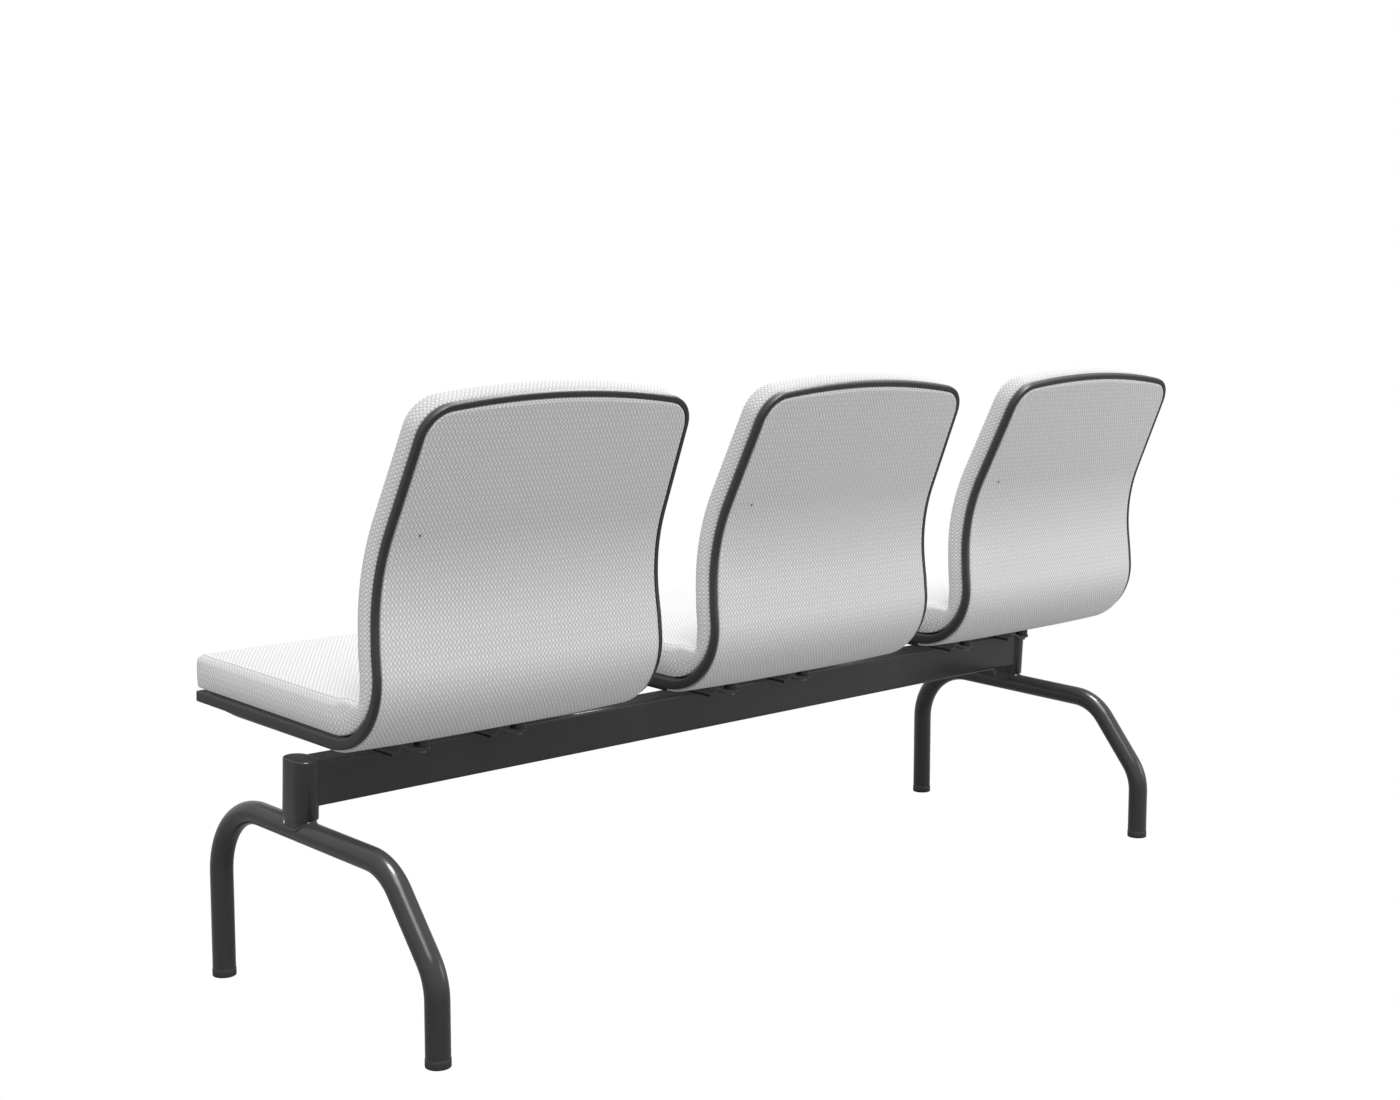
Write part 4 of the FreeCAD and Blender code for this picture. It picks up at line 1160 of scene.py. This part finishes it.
def panel_crown(s, gap, across, along):
    """The panel's face, fullest across its middle and at the bend."""
    fall = 1 - abs(across) ** 3
    return panel_face(s) - PANEL_CROWN * (1 - PANEL_CROWN_FADE * bend_share(s)) * fall


panel_low = from_rim(-SHELL_WALL - FIT_GAP)
panel_profile = [(2.0, panel_low), (0.7, between(panel_low, panel_face, 0.04)),
                 (0.2, between(panel_low, panel_face, 0.2)), (0.0, between(panel_low, panel_face, 0.5)),
                 (0.0, between(panel_low, panel_face, 1.0, PANEL_EDGE_R))]
for i in range(1, 5):
    a = math.radians(22.5 * i)
    panel_profile.append((PANEL_EDGE_R * (1 - math.cos(a)),
                          between(panel_low, panel_face, 1.0, PANEL_EDGE_R * (1 - math.sin(a)))))
panel_profile.append((PANEL_EDGE_R + 1.2, between(panel_low, panel_face, 1.0, -0.15)))
panel_side = side_points(PANEL_FIRST, PANEL_CORNER_R, PANEL_ROOM)
flat_panel = soft_body("flat_panel", seat_loop(panel_side, PANEL_ROOM), len(panel_side) - 1, panel_profile,
                       panel_crown, panel_face, 3)
puffed(flat_panel, PANEL_PRESSURE, PANEL_CAP)
refined(flat_panel)
for seat in SEATS:
    panel = seated(flat_panel, seat, seat + "_back_panel")
    dress(panel, FABRIC, [seat + "_rear_panel"], 60.0)
bpy.data.objects.remove(flat_panel)

# Panel plugs. One small dark pin to each rear panel, near its left edge, just proud of the cloth.
PLUG_R = 1.2
PLUG_PROUD = 0.3
PLUG_FROM_SIDE = 52.0
PLUG_HEIGHT_SHARE = 0.245
for seat in SEATS:
    plug_x = HALF_WIDTH_LUMBAR - PLUG_FROM_SIDE
    plug_at = LUMBAR_AT + BACK_LENGTH * PLUG_HEIGHT_SHARE
    skin = panel_crown(plug_at, 0.0, plug_x / (side_x(plug_at) - PANEL_ROOM), 0.5)
    rings = []
    for r, gap in ((PLUG_R, RIM_DEPTH_BACK - SHELL_WALL - 0.6), (PLUG_R, skin - PLUG_PROUD + 0.4),
                   (PLUG_R - 0.2, skin - PLUG_PROUD + 0.1), (PLUG_R - 0.5, skin - PLUG_PROUD)):
        rings.append([wrapped(seat, plug_x + r * math.cos(2 * math.pi * i / 16),
                              plug_at + r * math.sin(2 * math.pi * i / 16), gap) for i in range(16)])
    plug = loft(seat + "_pin", rings)
    dress(plug, BLACK_PLASTIC, [seat + "_panel_plug"])

# Inserts. Four threaded brass inserts in each shell take the bolts. They are hidden inside, so their
# CAD forms stay as they are and only get their metal.
BRASS = grained_material("plain_brass", (0.55, 0.38, 0.14), (0.62, 0.44, 0.18), 0.35, 0.05, 1200.0, 0.00004)
BRASS.node_tree.nodes["Principled BSDF"].inputs["Metallic"].default_value = 1.0
for seat in SEATS:
    inserts = frame["nodes"][seat + "_inserts"]
    inserts.data.materials.clear()
    inserts.data.materials.append(BRASS)

# Camera, floor and light. The camera stands behind the bench's left end, at the photograph's angle.
CAMERA_PLACE = (2249.3, 2136.2, 900.7)
CAMERA_YAW = 225.0
CAMERA_PITCH = -6.514
CAMERA_LENS = 50.79
camera_data = bpy.data.cameras.new("camera")
camera_data.lens = CAMERA_LENS
camera_data.sensor_width = 36.0
camera_data.sensor_fit = "HORIZONTAL"
camera = bpy.data.objects.new("camera", camera_data)
bpy.context.scene.collection.objects.link(camera)
camera.location = Vector(CAMERA_PLACE) * MM
camera.rotation_euler = (math.radians(90.0 + CAMERA_PITCH), 0.0, math.radians(CAMERA_YAW - 90.0))
bpy.context.scene.camera = camera


def white_to_camera(tree, shader_out, end_in):
    """Shows plain white to the camera in place of the shader."""
    path = tree.nodes.new("ShaderNodeLightPath")
    white = tree.nodes.new("ShaderNodeEmission")
    mix = tree.nodes.new("ShaderNodeMixShader")
    tree.links.new(path.outputs["Is Camera Ray"], mix.inputs[0])
    tree.links.new(shader_out, mix.inputs[1])
    tree.links.new(white.outputs[0], mix.inputs[2])
    tree.links.new(mix.outputs[0], end_in)


world = bpy.data.worlds.new("studio")
bpy.context.scene.world = world
world.use_nodes = True
air = world.node_tree
back = air.nodes["Background"]
set_inputs(back, {"Color": (1.0, 1.0, 1.0, 1.0), "Strength": 0.70})
bright = air.nodes.new("ShaderNodeBackground")
set_inputs(bright, {"Color": (1.0, 1.0, 1.0, 1.0), "Strength": 1.0})
rays = air.nodes.new("ShaderNodeLightPath")
pick = air.nodes.new("ShaderNodeMixShader")
wire(air, (rays, "Is Camera Ray", pick, 0), (back, 0, pick, 1), (bright, 0, pick, 2))
air.links.new(pick.outputs[0], air.nodes["World Output"].inputs[0])

floor_mesh = bpy.data.meshes.new("floor")
floor_mesh.from_pydata([(-12, -12, 0), (12, -12, 0), (12, 12, 0), (-12, 12, 0)], [], [(0, 1, 2, 3)])
floor = link("floor", floor_mesh)
floor_material = bpy.data.materials.new("pale_floor")
floor_material.use_nodes = True
floor_surface = floor_material.node_tree.nodes["Principled BSDF"]
set_inputs(floor_surface, {"Base Color": (0.35, 0.35, 0.35, 1.0), "Roughness": 0.9})
floor_end = floor_material.node_tree.nodes["Material Output"].inputs["Surface"]
white_to_camera(floor_material.node_tree, floor_surface.outputs[0], floor_end)
floor_mesh.materials.append(floor_material)
bpy.context.scene.view_settings.view_transform = "Standard"


def panel_light(name, place, target, wide, high, power):
    """A soft rectangular lamp that faces a point."""
    lamp = bpy.data.lights.new(name, "AREA")
    lamp.shape = "RECTANGLE"
    lamp.size = wide
    lamp.size_y = high
    lamp.energy = power
    thing = bpy.data.objects.new(name, lamp)
    bpy.context.scene.collection.objects.link(thing)
    thing.location = place
    thing.rotation_euler = (Vector(target) - Vector(place)).to_track_quat("-Z", "Y").to_euler()


panel_light("far_high", (-2.0, -1.8, 3.1), (0.0, 0.0, 0.4), 1.2, 1.2, 72.0)
panel_light("far_end", (-2.4, 2.4, 1.3), (-0.5, 0.2, 0.5), 1.6, 1.2, 16.0)


def wide_light(name, aim, strength, spread):
    """A far lamp with even light over the whole bench."""
    lamp = bpy.data.lights.new(name, "SUN")
    lamp.energy = strength
    lamp.angle = math.radians(spread)
    thing = bpy.data.objects.new(name, lamp)
    bpy.context.scene.collection.objects.link(thing)
    thing.rotation_euler = Vector(aim).to_track_quat("-Z", "Y").to_euler()
    return thing


wide_light("high_rear", (-0.25, -0.433, -0.866), 1.6, 30.0)
hard_parts = bpy.data.collections.new("hard_parts")
for thing in bpy.context.scene.objects:
    if thing.type == "MESH" and FABRIC not in thing.data.materials[:] and thing is not floor:
        hard_parts.objects.link(thing)
fill = wide_light("frame_fill", (0.0, -0.1, -1.0), 4.2, 10.0)
fill.data.use_shadow = False
fill.light_linking.receiver_collection = hard_parts
